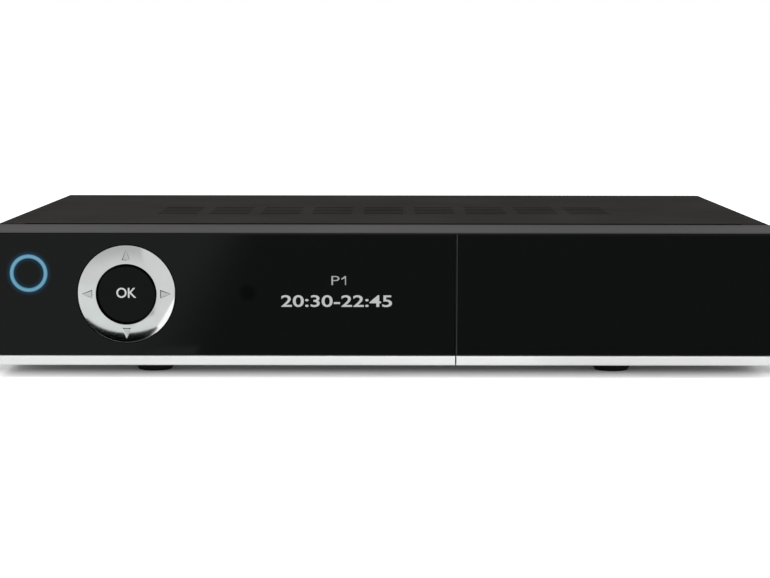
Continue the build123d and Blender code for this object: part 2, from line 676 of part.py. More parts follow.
card_spacer_radius, card_spacer_inset, card_spacer_height = 2.2, 5.0, 3.0
card_reader_back = 4.0  # closed end of the card's way in
card_mid_y = slot_panel_y[1] + card_reader_size[1] / 2
with BuildPart() as card_reader:
    with Locations((ci_mid_x, card_mid_y, card_z)):
        Box(*card_reader_size)
    with BuildSketch(front_plane(slot_panel_y[1])):
        with Locations((ci_mid_x, card_z)):
            Rectangle(card_slot_width, card_slot_height - 0.6)
    extrude(amount=card_reader_back - card_reader_size[1], mode=Mode.SUBTRACT)
    # its board, on spacers that stand on the module cage
    with Locations((ci_mid_x, card_mid_y, card_board_z)):
        Box(card_reader_size[0], card_reader_size[1], card_board_thickness, align=on_floor)
        with GridLocations(
            card_reader_size[0] - 2 * card_spacer_inset,
            card_reader_size[1] - 2 * card_spacer_inset,
            2,
            2,
        ):
            Cylinder(card_spacer_radius, card_spacer_height, align=hung_below)

# ================================================================ keys
tact_size, tact_height = 6.0, 3.5  # push switches on the key board
tact_bore_radius, tact_bore_depth = 1.85, 1.3
plunger_radius = 1.75
plunger_lift = 5.0  # plunger's tip above the key board
plunger_depth = 0.3  # plunger's foot inside the switch, at rest
tact_front_y = board_y - tact_height
tact_floor_y = tact_front_y + tact_bore_depth
plunger_tip_y = board_y - plunger_lift
plunger_foot_y = tact_front_y + plunger_depth

power_proud = 0.15
light_ring_depth = 9.0
light_ring_back_y = face_y + light_ring_depth
power_radius = power_ring_radius - power_ring_width - slip
power_wall = 0.9
power_cup_y = (face_y - power_proud, light_ring_back_y + 1.2)
power_lug_radius = power_radius + 0.9
stem_radius = 1.5

crown_y = front_tip
ring_bore = ok_radius + key_gap + running
ring_edge_drop = 1.1  # outer edge of the ring behind its crown
ring_lip = 0.3
ring_depth, skirt_depth = 2.6, 8.0  # behind the fascia's face
ring_back_y = face_y + ring_depth
skirt_radii = (12.0, 12.9)
skirt_end_y = face_y + skirt_depth
pin_root = 0.4  # part of a tilt pin inside its ring
gimbal_radii = (13.5, 15.6)
gimbal_height = 2.6
gimbal_pin_reach = 1.9
tilt_limit = 2.2  # degrees, each way
nav_gap = 0.15  # ring's skirt to the switch plungers

ok_face_y = crown_y + 0.5
ok_wall = 1.5
ok_flange_radius = ok_radius + 0.9
ok_flange_y = (ring_back_y + key_travel, ring_back_y + key_travel + 0.8)
ok_guide_radii = (5.0, 6.25)
ok_guide_front_y = face_y + 4.5
ok_skirt_radii = (ok_guide_radii[1] + running, ok_guide_radii[1] + running + 1.0)
ok_skirt_end_y = face_y + 8.0

nav_reach = (skirt_radii[0] + skirt_radii[1]) / 2
nav_points = {
    "up": (ring_x, ring_z + nav_reach),
    "down": (ring_x, ring_z - nav_reach),
    "left": (ring_x - nav_reach, ring_z),
    "right": (ring_x + nav_reach, ring_z),
}


def turning_plane(x, z):
    """Half-section plane of a piece that is turned about a line along Y: radius, then depth."""
    return Plane.XY.move(Location((x, 0, z)))


def turning_axis(x, z):
    """Line along Y that a turned piece goes round."""
    return Axis((x, 0, z), (0, 1, 0))


with BuildPart() as power_light_ring:
    with BuildSketch(turning_plane(power_x, power_z)):
        with BuildLine():
            inner = power_ring_radius - power_ring_width
            Polyline(
                (inner, face_y - power_proud),
                (power_ring_radius - 0.3, face_y - power_proud),
                (power_ring_radius, face_y - power_proud + 0.3),
                (power_ring_radius, light_flange_y[0]),
                (light_flange_radius, light_flange_y[0]),
                (light_flange_radius, light_flange_y[1]),
                (power_ring_radius, light_flange_y[1]),
                (power_ring_radius, light_ring_back_y),
                (inner, light_ring_back_y),
                close=True,
            )
        make_face()
    revolve(axis=turning_axis(power_x, power_z))

with BuildPart() as power_button:
    rod(power_x, power_z, power_cup_y, power_radius)
    fillet(power_button.faces().sort_by(Axis.Y)[0].edges(), 0.4)
    rod(power_x, power_z, (power_cup_y[0] + 1.4, power_cup_y[1]), power_radius - power_wall,
        mode=Mode.SUBTRACT)
    rod(power_x, power_z, (power_cup_y[0] + 1.4, plunger_tip_y), stem_radius)
    # lugs that catch behind the light ring
    with BuildSketch(front_plane(power_cup_y[1])):
        with Locations((power_x, power_z)):
            with PolarLocations(power_radius + 0.3, 3, start_angle=90):
                Rectangle(1.2, 3.0)
    extrude(amount=power_cup_y[1] - light_ring_back_y - slip)

with BuildPart() as power_plunger:
    rod(power_x, power_z, (plunger_tip_y, plunger_foot_y), plunger_radius)

with BuildPart() as nav_ring:
    with BuildSketch(turning_plane(ring_x, ring_z)) as ring_section:
        with BuildLine():
            Line((ring_bore, ring_back_y), (ring_bore, crown_y + ring_lip))
            Line((ring_bore, crown_y + ring_lip), (ring_bore + ring_lip, crown_y))
            TangentArc(
                (ring_bore + ring_lip, crown_y),
                (ring_radius, crown_y + ring_edge_drop),
                tangent=(1, 0),
            )
            Polyline(
                (ring_radius, crown_y + ring_edge_drop),
                (ring_radius, ring_back_y),
                (skirt_radii[1], ring_back_y),
                (skirt_radii[1], skirt_end_y),
                (skirt_radii[0], skirt_end_y),
                (skirt_radii[0], ring_back_y),
                (ring_bore, ring_back_y),
            )
        make_face()
    revolve(axis=turning_axis(ring_x, ring_z))
    for side in (-1, 1):
        pin_mid, pin_run = span(skirt_radii[1] - pin_root, gimbal_radii[1] - pin_root)
        with Locations((ring_x, tilt_y, ring_z + side * pin_mid)):
            Cylinder(gimbal_pin_radius, pin_run)

with BuildPart() as nav_gimbal:
    rod(ring_x, ring_z, (tilt_y - gimbal_height / 2, tilt_y + gimbal_height / 2), gimbal_radii[1])
    for side in (-1, 1):
        pin_mid, pin_run = span(gimbal_radii[1] - pin_root, gimbal_radii[1] + gimbal_pin_reach)
        with Locations(Location((ring_x + side * pin_mid, tilt_y, ring_z), (0, 90, 0))):
            Cylinder(gimbal_pin_radius, pin_run)
    rod(ring_x, ring_z, (tilt_y - gimbal_height / 2, tilt_y + gimbal_height / 2),
        gimbal_radii[0], mode=Mode.SUBTRACT)
    with Locations((ring_x, tilt_y, ring_z)):
        Cylinder(gimbal_pin_radius + running, 2 * gimbal_radii[1] + 1, mode=Mode.SUBTRACT)

with BuildPart() as ok_button:
    with BuildSketch(turning_plane(ring_x, ring_z)) as ok_section:
        with BuildLine():
            Polyline(
                (0, ok_face_y),
                (ok_radius - 0.5, ok_face_y),
                (ok_radius, ok_face_y + 0.5),
                (ok_radius, ok_flange_y[0]),
                (ok_flange_radius, ok_flange_y[0]),
                (ok_flange_radius, ok_flange_y[1]),
                (ok_radius - 1.2, ok_flange_y[1]),
                (ok_radius - 1.2, ok_face_y + ok_wall),
                (ok_skirt_radii[1], ok_face_y + ok_wall),
                (ok_skirt_radii[1], ok_skirt_end_y),
                (ok_skirt_radii[0], ok_skirt_end_y),
                (ok_skirt_radii[0], ok_face_y + ok_wall),
                (stem_radius, ok_face_y + ok_wall),
                (stem_radius, plunger_tip_y),
                (0, plunger_tip_y),
                close=True,
            )
        make_face()
    revolve(axis=turning_axis(ring_x, ring_z))

with BuildPart() as ok_guide:
    rod(ring_x, ring_z, (ok_guide_front_y, board_y), ok_guide_radii[1])
    rod(ring_x, ring_z, (ok_guide_front_y, board_y), ok_guide_radii[0], mode=Mode.SUBTRACT)

with BuildPart() as ok_plunger:
    rod(ring_x, ring_z, (plunger_tip_y, plunger_foot_y), plunger_radius)

nav_plungers = {}
for way, (plunger_x, plunger_z) in nav_points.items():
    with BuildPart() as nav_plunger:
        rod(plunger_x, plunger_z, (skirt_end_y + nav_gap, tact_front_y + 0.65), plunger_radius)
    nav_plungers[way] = nav_plunger

# ================================================================ key board and display
tact_points = [(power_x, power_z), (ring_x, ring_z), *nav_points.values()]
led_size = (1.6, 1.0, 0.8)
led_count = 3
ribbon_inset, ribbon_width = 23.5, 22.0
ribbon_x = (display_x - ribbon_inset, display_x - ribbon_inset + ribbon_width)
ribbon_socket_y = (board_back_y, board_back_y + 4.0)
ribbon_socket_z = (24.0, 29.0)
ribbon_thickness = 0.6
ribbon_bend, ribbon_run = 6.0, 3.1  # bend, and straight length before it
ribbon_landing_size = (5.0, 5.0)  # depth and height
ribbon_landing_mid = ribbon_socket_y[1] + ribbon_run + ribbon_bend
ribbon_landing_y = (
    ribbon_landing_mid - ribbon_landing_size[0] / 2,
    ribbon_landing_mid + ribbon_landing_size[0] / 2,
)

with BuildPart() as key_board:
    with BuildSketch(front_plane(board_back_y)):
        with Locations((sum(key_board_x) / 2, sum(key_board_z) / 2)):
            Rectangle(key_board_x[1] - key_board_x[0], key_board_z[1] - key_board_z[0])
        with Locations(*board_boss_points):
            Circle(standoff_hole, mode=Mode.SUBTRACT)
    extrude(amount=board_thickness)

with BuildPart() as board_screws:
    for screw_x, screw_z in board_boss_points:
        rod(screw_x, screw_z, (board_back_y, board_back_y + screw_head_height),
            screw_head_radius)
        rod(screw_x, screw_z, (wall_y + 2.0, board_back_y), standoff_hole)
    with Locations(*[(x, y, board_top_z) for x, y in standoff_points]):
        Cylinder(screw_head_radius, screw_head_height, align=on_floor)
    with Locations(*[(x, y, floor_z + 1.0) for x, y in standoff_points]):
        Cylinder(standoff_hole, board_top_z - floor_z - 1.0, align=on_floor)

with BuildPart() as tact_switches:
    for tact_x, tact_z in tact_points:
        block((tact_x - tact_size / 2, tact_x + tact_size / 2), (tact_front_y, board_y),
              (tact_z - tact_size / 2, tact_z + tact_size / 2))
        rod(tact_x, tact_z, (tact_front_y, tact_floor_y), tact_bore_radius, mode=Mode.SUBTRACT)

with BuildPart() as ir_window:
    rod(infrared_x, infrared_z, (seat_y, wall_y + 0.8), infrared_radius)

with BuildPart() as ir_receiver:
    receiver_y = (board_y - 6.0, board_y - 1.2)
    block((infrared_x - 3.0, infrared_x + 3.0), receiver_y, (infrared_z - 3.6, infrared_z + 3.6))
    rod(infrared_x, infrared_z, (receiver_y[0] - 2.0, receiver_y[0]), 2.3)
    fillet(ir_receiver.faces().sort_by(Axis.Y)[0].edges(), 1.6)
    for leg in (-2.54, 0, 2.54):
        block((infrared_x + leg - 0.25, infrared_x + leg + 0.25), (receiver_y[1], board_y),
              (infrared_z - 3.4, infrared_z - 2.9))

with BuildPart() as display_module:
    block((display_x - display_glass_size[0] / 2, display_x + display_glass_size[0] / 2),
          display_glass_y,
          (display_z - display_glass_size[1] / 2, display_z + display_glass_size[1] / 2))
    block((display_x - display_board_size[0] / 2, display_x + display_board_size[0] / 2),
          display_board_y,
          (display_z - display_board_size[1] / 2, display_z + display_board_size[1] / 2))

harness_y = (-4.0, 9.0)
harness_insets = (7.0, 9.0)
harness_xs = (psu_board_x[1] - harness_insets[0], main_board_x[0] + harness_insets[1])
harness_socket = (6.0, 8.0)
harness_margin = 1.0
harness_rise, harness_bend, harness_thickness = 8.0, 5.0, 1.4
harness_low = board_top_z + harness_socket[1]
display_header_size, display_header_drop = (26.0, 2.5), 10.5
with BuildPart() as board_sockets:
    block(ribbon_x, ribbon_socket_y, ribbon_socket_z)
    block(ribbon_x, ribbon_landing_y, (board_top_z, board_top_z + ribbon_landing_size[1]))
    for socket_x in harness_xs:
        block((socket_x - harness_socket[0] / 2, socket_x + harness_socket[0] / 2),
              (harness_y[0] - harness_margin, harness_y[1] + harness_margin),
              (board_top_z, harness_low))
    header_mid_z = display_z - display_header_drop
    block((display_x - display_header_size[0] / 2, display_x + display_header_size[0] / 2),
          (display_board_y[1], board_y),
          (header_mid_z - display_header_size[1] / 2, header_mid_z + display_header_size[1] / 2))

with BuildPart() as board_cables:
    with BuildSketch(Plane.YZ.offset(ribbon_x[0] + 1)) as ribbon_path:
        with BuildLine():
            FilletPolyline(
                (ribbon_socket_y[1], sum(ribbon_socket_z) / 2),
                (ribbon_landing_mid, sum(ribbon_socket_z) / 2),
                (ribbon_landing_mid, board_top_z + ribbon_landing_size[1]),
                radius=ribbon_bend,
            )
        trace(line_width=ribbon_thickness)
    extrude(amount=ribbon_x[1] - ribbon_x[0] - 2)
    with BuildSketch(front_plane(harness_y[1])):
        with BuildLine():
            FilletPolyline(
                (harness_xs[0], harness_low),
                (harness_xs[0], harness_low + harness_rise),
                (harness_xs[1], harness_low + harness_rise),
                (harness_xs[1], harness_low),
                radius=harness_bend,
            )
        trace(line_width=harness_thickness)
    extrude(amount=harness_y[1] - harness_y[0])

# ================================================================ main board and its sockets
with BuildPart() as main_board:
    with BuildSketch(Plane.XY.offset(board_z)):
        with Locations((sum(main_board_x) / 2, sum(main_board_y) / 2)):
            Rectangle(main_board_x[1] - main_board_x[0], main_board_y[1] - main_board_y[0])
        with Locations(*corner_points(main_board_x, main_board_y, standoff_insets)):
            Circle(standoff_hole, mode=Mode.SUBTRACT)
    extrude(amount=board_thickness)

tuner_y = (rear_inner_y - slip - tuner_length, rear_inner_y - slip)
tuner_height = 2 * socket_lift
tuner_wall = 0.6
aerial_bore = 3.3
aerial_tip_y = total_depth / 2
nut_across_flats = 13.4
with BuildPart() as tuner_can:
    block(tuner_x, tuner_y, (board_top_z, board_top_z + tuner_height))
    block((tuner_x[0] + tuner_wall, tuner_x[1] - tuner_wall),
          (tuner_y[0] + tuner_wall, tuner_y[1] - tuner_wall),
          (board_top_z, board_top_z + tuner_height - tuner_wall), mode=Mode.SUBTRACT)

with BuildPart() as aerial_sockets:
    for aerial_x in aerial_xs:
        rod(aerial_x, socket_z, (tuner_y[1], rear_y + aerial_nut_height), aerial_base_radius)
        rod(aerial_x, socket_z, (tuner_y[1], aerial_tip_y), aerial_radius)
        rod(aerial_x, socket_z, (tuner_y[1] + 1.0, aerial_tip_y), aerial_bore, mode=Mode.SUBTRACT)

with BuildPart() as aerial_nuts:
    with BuildSketch(front_plane(rear_y + aerial_nut_height)):
        with Locations(*[(x, socket_z) for x in aerial_xs]):
            RegularPolygon(nut_across_flats / 2, 6, major_radius=False)
            Circle(aerial_base_radius + running, mode=Mode.SUBTRACT)
    extrude(amount=aerial_nut_height)

usb_z = board_top_z + usb_outer[1] / 2
usb_back = 2.0  # closed end of the shell
usb_tongue = (11.1, 1.9)
usb_tongue_setback, usb_tongue_drop = 1.0, 0.4
front_usb_y = slot_panel_y[0] - socket_proud
# middle across, face, and the way in from the face: +1 towards the back, -1 towards the front
usb_places = ((front_usb_x, front_usb_y, 1), (usb_x, socket_face_y, -1))
with BuildPart() as usb_sockets:
    for mid_x, usb_face_y, inward in usb_places:
        block((mid_x - usb_outer[0] / 2, mid_x + usb_outer[0] / 2),
              sorted((usb_face_y, usb_face_y + inward * usb_length)),
              (board_top_z, board_top_z + usb_outer[1]))
        block((mid_x - usb_mouth[0] / 2, mid_x + usb_mouth[0] / 2),
              sorted((usb_face_y, usb_face_y + inward * (usb_length - usb_back))),
              (usb_z - usb_mouth[1] / 2, usb_z + usb_mouth[1] / 2), mode=Mode.SUBTRACT)

with BuildPart() as hdmi_socket:
    hdmi_z = board_top_z + hdmi_outer[1] / 2
    for size, depth, mode in (
        (hdmi_outer, hdmi_length, Mode.ADD),
        (hdmi_mouth, hdmi_length - 2, Mode.SUBTRACT),
    ):
        with BuildSketch(front_plane(socket_face_y)) as hdmi_outline:
            with Locations((hdmi_x, hdmi_z)):
                Rectangle(*size)
            chamfer(hdmi_outline.vertices().group_by(Axis.Y)[0], 1.6)
        extrude(amount=depth, mode=mode)
    block((hdmi_x - 5.6, hdmi_x + 5.6), (socket_face_y - hdmi_length, socket_face_y - 1.5),
          (hdmi_z - 0.4, hdmi_z + 1.1))

with BuildPart() as lan_socket:
    lan_z = board_top_z + lan_outer[1] / 2
    block((lan_x - lan_outer[0] / 2, lan_x + lan_outer[0] / 2),
          (socket_face_y - lan_length, socket_face_y), (board_top_z, board_top_z + lan_outer[1]))
    lan_depth = 13.0
    mouth_low = lan_z - lan_mouth[1] / 2 - 0.8
    block((lan_x - lan_mouth[0] / 2, lan_x + lan_mouth[0] / 2),
          (socket_face_y - lan_depth, socket_face_y),
          (mouth_low, mouth_low + lan_mouth[1]), mode=Mode.SUBTRACT)
    # room for the plug's latch
    block((lan_x - 3.2, lan_x + 3.2), (socket_face_y - lan_depth, socket_face_y),
          (mouth_low + lan_mouth[1], mouth_low + lan_mouth[1] + 2.4), mode=Mode.SUBTRACT)

with BuildPart() as optical_socket:
    optical_z = board_top_z + optical_outer[1] / 2
    block((optical_x - optical_outer[0] / 2, optical_x + optical_outer[0] / 2),
          (socket_face_y - optical_length, socket_face_y),
          (board_top_z, board_top_z + optical_outer[1]))
    block((optical_x - optical_mouth / 2, optical_x + optical_mouth / 2),
          (socket_face_y - optical_depth, socket_face_y),
          (optical_z - optical_mouth / 2, optical_z + optical_mouth / 2), mode=Mode.SUBTRACT)
    shutter_pin_radius = 0.5
    shutter_y = socket_face_y - shutter_setback
    shutter_pivot_z = optical_z + optical_mouth / 2 - 0.9
    with Locations(Location((optical_x, shutter_y, shutter_pivot_z), (0, 90, 0))):
        Cylinder(shutter_pin_radius + running, optical_mouth + 1.4, mode=Mode.SUBTRACT)

with BuildPart() as optical_shutter:
    shutter_half = optical_mouth / 2 - 0.15
    block((optical_x - shutter_half, optical_x + shutter_half),
          (shutter_y - 0.4, shutter_y + 0.4),
          (optical_z - optical_mouth / 2 + 0.2, shutter_pivot_z))
    with Locations(Location((optical_x, shutter_y, shutter_pivot_z), (0, 90, 0))):
        Cylinder(0.7, 2 * shutter_half)
        Cylinder(shutter_pin_radius, optical_mouth + 1.2)

with BuildPart() as coax_socket:
    coax_y = (rear_inner_y - coax_length, rear_inner_y - slip)
    coax_tip_y = rear_y + coax_reach
    coax_bore = 3.3
    block((coax_x - coax_outer[0] / 2, coax_x + coax_outer[0] / 2), coax_y,
          (board_top_z, board_top_z + coax_outer[1]))
    rod(coax_x, socket_z, (coax_y[1], socket_face_y), coax_collar_radius)
    rod(coax_x, socket_z, (coax_y[1], coax_tip_y), coax_radius)
    rod(coax_x, socket_z, (coax_y[0] + 1.5, coax_tip_y), coax_bore, mode=Mode.SUBTRACT)

pin_way = 1.5  # depth of insulator behind the hole for the pin
with BuildPart() as socket_inserts:
    for mid_x, insert_y, insert_radius, hole_radius in (
        *[(x, (tuner_y[1] + 1.0, aerial_tip_y - 1.4), aerial_bore, 0.7) for x in aerial_xs],
        (coax_x, (coax_y[0] + 1.5, coax_tip_y - 0.6), coax_bore, 1.65),
    ):
        rod(mid_x, socket_z, insert_y, insert_radius)
        rod(mid_x, socket_z, (insert_y[0] + pin_way, insert_y[1]), hole_radius,
            mode=Mode.SUBTRACT)
    for mid_x, usb_face_y, inward in usb_places:
        tongue_y_span = sorted((
            usb_face_y + inward * usb_tongue_setback, usb_face_y + inward * (usb_length - usb_back)
        ))
        tongue_top_z = usb_z + usb_mouth[1] / 2 - usb_tongue_drop
        block((mid_x - usb_tongue[0] / 2, mid_x + usb_tongue[0] / 2),
              tongue_y_span, (tongue_top_z - usb_tongue[1], tongue_top_z))

# ================================================================ parts on the main board
def on_main_board(x, y):
    """Place on the main board, from its left end and its middle line."""
    return main_board_x[0] + x, sum(main_board_y) / 2 + y


def on_power_board(x, y):
    """Place on the power board, from its left end and its middle line."""
    return psu_board_x[0] + x, sum(psu_board_y) / 2 + y


chip_place = (62.0, 7.4)
chip_mid = on_main_board(*chip_place)
sink_size = (32.0, 32.0)
sink_base, sink_height = 2.0, 11.0
sink_fins, fin_thickness = 9, 1.2
main_chip_size = (27.0, 27.0, 1.8)
memory_chip_size = (9.0, 12.0, 1.2)
memory_chip_places = ((-28.0, -6.0), (-28.0, 10.0), (-8.0, 28.0), (8.0, 28.0))  # from the chip
with BuildPart() as chips_and_leds:
    with Locations((*chip_mid, board_top_z)):
        Box(*main_chip_size, align=on_floor)
    with Locations(*[
        (chip_mid[0] + x, chip_mid[1] + y, board_top_z) for x, y in memory_chip_places
    ]):
        Box(*memory_chip_size, align=on_floor)
    # lamps behind the power key's light ring
    with BuildSketch(front_plane(board_y)):
        with Locations((power_x, power_z)):
            with PolarLocations(power_ring_radius - power_ring_width / 2, led_count):
                Rectangle(led_size[1], led_size[0])
    extrude(amount=led_size[2])

power_sink_place = (8.0, -20.6)
power_sink_mid = on_power_board(*power_sink_place)
power_sink_plate = (2.5, 44.0, 26.0)
power_sink_fin = (6.0, 1.4)
power_sink_fins = 7
with BuildPart() as heatsinks:
    with Locations((*chip_mid, board_top_z + main_chip_size[2])):
        Box(*sink_size, sink_base, align=on_floor)
        with GridLocations((sink_size[0] - fin_thickness) / (sink_fins - 1), 1, sink_fins, 1):
            Box(fin_thickness, sink_size[1], sink_height, align=on_floor)
    with Locations((*power_sink_mid, board_top_z)):
        Box(*power_sink_plate, align=on_floor)
    fin_pitch = (power_sink_plate[1] - power_sink_fin[1]) / (power_sink_fins - 1)
    fin_mid_x = power_sink_mid[0] + power_sink_plate[0] / 2 + power_sink_fin[0] / 2
    with Locations((fin_mid_x, power_sink_mid[1], board_top_z)):
        with GridLocations(1, fin_pitch, 1, power_sink_fins):
            Box(power_sink_fin[0], power_sink_fin[1], power_sink_plate[2], align=on_floor)

# upright capacitors: radius and height, then places on their boards
small_can, middle_can, large_can = (4.0, 11.0), (5.0, 16.0), (9.0, 30.0)
small_can_places = ((12.0, 37.4), (12.0, 49.4), (24.0, 55.4))
tuner_can_places = ((-22.0, 37.4), (-12.0, 49.4))  # across: from the tuner
middle_can_places = ((54.0, -46.6), (42.0, -48.6), (30.0, -48.6), (54.0, -34.6))
large_can_place = (30.0, 9.4)
can_rise = 1.0  # above the board, where only the cans' upper rims are
with BuildPart() as capacitors:
    for (can_radius, can_height), can_points in (
        (small_can, [on_main_board(*place) for place in small_can_places]),
        (small_can, [(tuner_x[0] + x, on_main_board(x, y)[1]) for x, y in tuner_can_places]),
        (middle_can, [on_power_board(*place) for place in middle_can_places]),
        (large_can, [on_power_board(*large_can_place)]),
    ):
        with Locations(*[(x, y, board_top_z) for x, y in can_points]):
            Cylinder(can_radius, can_height, align=on_floor)
    fillet(capacitors.edges().filter_by(GeomType.CIRCLE).filter_by(
        lambda edge: edge.center().Z > board_top_z + can_rise), 0.6)

# ================================================================ mains side
inlet_recess = (8.6, 3.95)  # pin spacing, radius of the rounded ends
inlet_recess_depth = 13.0
mains_pin_radius = 1.2
inlet_flange_depth = 2.0
inlet_y = (rear_y - inlet_length, rear_y + inlet_flange_depth)

with BuildPart() as mains_inlet:
    with BuildSketch(front_plane(inlet_y[1])) as inlet_outline:
        with Locations((inlet_x, inlet_z)):
            Rectangle(*inlet_flange)
        fillet(inlet_outline.vertices(), 1.5)
    extrude(amount=inlet_flange_depth)
    with BuildSketch(front_plane(rear_y)):
        with Locations((inlet_x, inlet_z)):
            Rectangle(*inlet_body)
    extrude(amount=inlet_length)
    with BuildSketch(front_plane(inlet_y[1])):
        with Locations((inlet_x, inlet_z)):
            SlotCenterToCenter(inlet_recess[0], 2 * inlet_recess[1])
    extrude(amount=inlet_recess_depth, mode=Mode.SUBTRACT)
    for side in (-1, 1):
        rod(inlet_x + side * inlet_recess[0] / 2, inlet_z, inlet_y, mains_pin_radius,
            mode=Mode.SUBTRACT)

switch_wall = 1.0
switch_window = (switch_body[0] - 2 * 1.2, switch_body[1] - 2 * switch_wall)
switch_y = (rear_y - switch_length, rear_y + inlet_flange_depth)
switch_cavity_depth = 13.0
rocker_y = rear_y - 1.6
rocker_pin_radius = 1.0
rocker_tilt = 10.0  # degrees each side of the middle
rocker_half = 7.2
rocker_crest = 4.4  # crest of the rocker behind its ends, from the pivot
with BuildPart() as mains_switch:
    with BuildSketch(front_plane(switch_y[1])) as switch_outline:
        with Locations((switch_x, switch_z)):
            Rectangle(*switch_flange)
        fillet(switch_outline.vertices(), 1.0)
    extrude(amount=inlet_flange_depth)
    with BuildSketch(front_plane(rear_y)):
        with Locations((switch_x, switch_z)):
            Rectangle(*switch_body)
    extrude(amount=switch_length)
    with BuildSketch(front_plane(switch_y[1])):
        with Locations((switch_x, switch_z)):
            Rectangle(*switch_window)
    extrude(amount=switch_cavity_depth, mode=Mode.SUBTRACT)
    with Locations(Location((switch_x, rocker_y, switch_z), (0, 90, 0))):
        Cylinder(rocker_pin_radius + running, switch_window[0] + 1.6, mode=Mode.SUBTRACT)

with BuildPart() as mains_rocker:
    rocker_width = switch_window[0] - 0.4
    rocker_plane = Plane(
        origin=(switch_x - rocker_width / 2, rocker_y, switch_z),
        x_dir=Vector(0, 1, 0).rotate(Axis.X, rocker_tilt),
        z_dir=(1, 0, 0),
    )
    with BuildSketch(rocker_plane) as rocker_profile:
        with BuildLine():
            lip = rocker_crest + 1.2
            Polyline(
                (-2.2, 0),
                (-0.2, rocker_half),
                (lip, rocker_half),
                (rocker_crest, 0),
                (lip, -rocker_half),
                (-0.2, -rocker_half),
                close=True,
            )
        make_face()
        fillet(rocker_profile.vertices().group_by(Axis.X)[-1], 0.6)
    extrude(amount=rocker_width)
    with Locations(Location((switch_x, rocker_y, switch_z), (0, 90, 0))):
        Cylinder(rocker_pin_radius, switch_window[0] + 1.4)

terminal_thickness = 1.2
terminal_offset = 3.6
mains_pin_setback = 2.5  # pins' tips behind the inlet's flange
with BuildPart() as mains_terminals:
    for side in (-1, 1):
        # inlet pins, with legs down to the power board
        pin_x = inlet_x + side * inlet_recess[0] / 2
        leg_y = (inlet_y[0] - 2 * terminal_thickness, inlet_y[0] - terminal_thickness)
        rod(pin_x, inlet_z, (leg_y[0], inlet_y[1] - mains_pin_setback), mains_pin_radius)
        block((pin_x - mains_pin_radius, pin_x + mains_pin_radius), leg_y,
              (board_top_z, inlet_z))
        # tabs of the switch
        tab_x = switch_x + side * terminal_offset
        block((tab_x - mains_pin_radius, tab_x + mains_pin_radius),
              (switch_y[0] - terminal_thickness, switch_y[0]), (board_top_z, switch_z + 3.0))

with BuildPart() as power_board:
    with BuildSketch(Plane.XY.offset(board_z)):
        with Locations((sum(psu_board_x) / 2, sum(psu_board_y) / 2)):
            Rectangle(psu_board_x[1] - psu_board_x[0], psu_board_y[1] - psu_board_y[0])
        with Locations(*corner_points(psu_board_x, psu_board_y, standoff_insets)):
            Circle(standoff_hole, mode=Mode.SUBTRACT)
    extrude(amount=board_thickness)

core_place = (34.0, -20.6)
core_mid = on_power_board(*core_place)
core_size = (28.0, 10.0, 24.0)
core_leg, core_window = 8.0, (5.0, 15.0)
winding_depth = 22.0
with BuildPart() as transformer:
    with Locations((*core_mid, board_top_z + core_size[2] / 2)):
        Box(*core_size)
        with GridLocations(core_leg + core_window[0], 1, 2, 1):
            Box(core_window[0], core_size[1], core_window[1], mode=Mode.SUBTRACT)

# winding on its bobbin, round the core's middle leg
with BuildPart() as transformer_winding:
    with Locations((*core_mid, board_top_z + core_size[2] / 2)):
        Box(core_leg + 2 * core_window[0] - 0.4, winding_depth, core_window[1] - 0.4)
        Box(core_leg + 0.2, core_size[1] + 0.2, core_window[1], mode=Mode.SUBTRACT)

# across: from the power board's left end; in depth: from the rear wall
filter_capacitor_place, filter_capacitor_size = (14.0, 41.0), (8.0, 18.0, 14.0)
choke_place, choke_radii, choke_height = (36.0, 39.0), (9.0, 4.0), 8.0
fuse_place, fuse_radius, fuse_length = (58.0, 41.0), 2.6, 20.0
filter_capacitor_mid, choke_mid, fuse_mid = [
    (psu_board_x[0] + place[0], rear_y - place[1])
    for place in (filter_capacitor_place, choke_place, fuse_place)
]
fuse_clip = (5.2, 3.0, 4.0)
fuse_clip_pitch = 14.0
with BuildPart() as mains_filter:
    with Locations((*filter_capacitor_mid, board_top_z)):
        Box(*filter_capacitor_size, align=on_floor)
    with Locations((*choke_mid, board_top_z)):
        Cylinder(choke_radii[0], choke_height, align=on_floor)
        Cylinder(choke_radii[1], choke_height, align=on_floor, mode=Mode.SUBTRACT)
    with Locations(Location((*fuse_mid, board_top_z + fuse_clip[2]), (90, 0, 0))):
        Cylinder(fuse_radius, fuse_length)
    with Locations((*fuse_mid, board_top_z)):
        with GridLocations(1, fuse_clip_pitch, 1, 2):
            Box(*fuse_clip, align=on_floor)

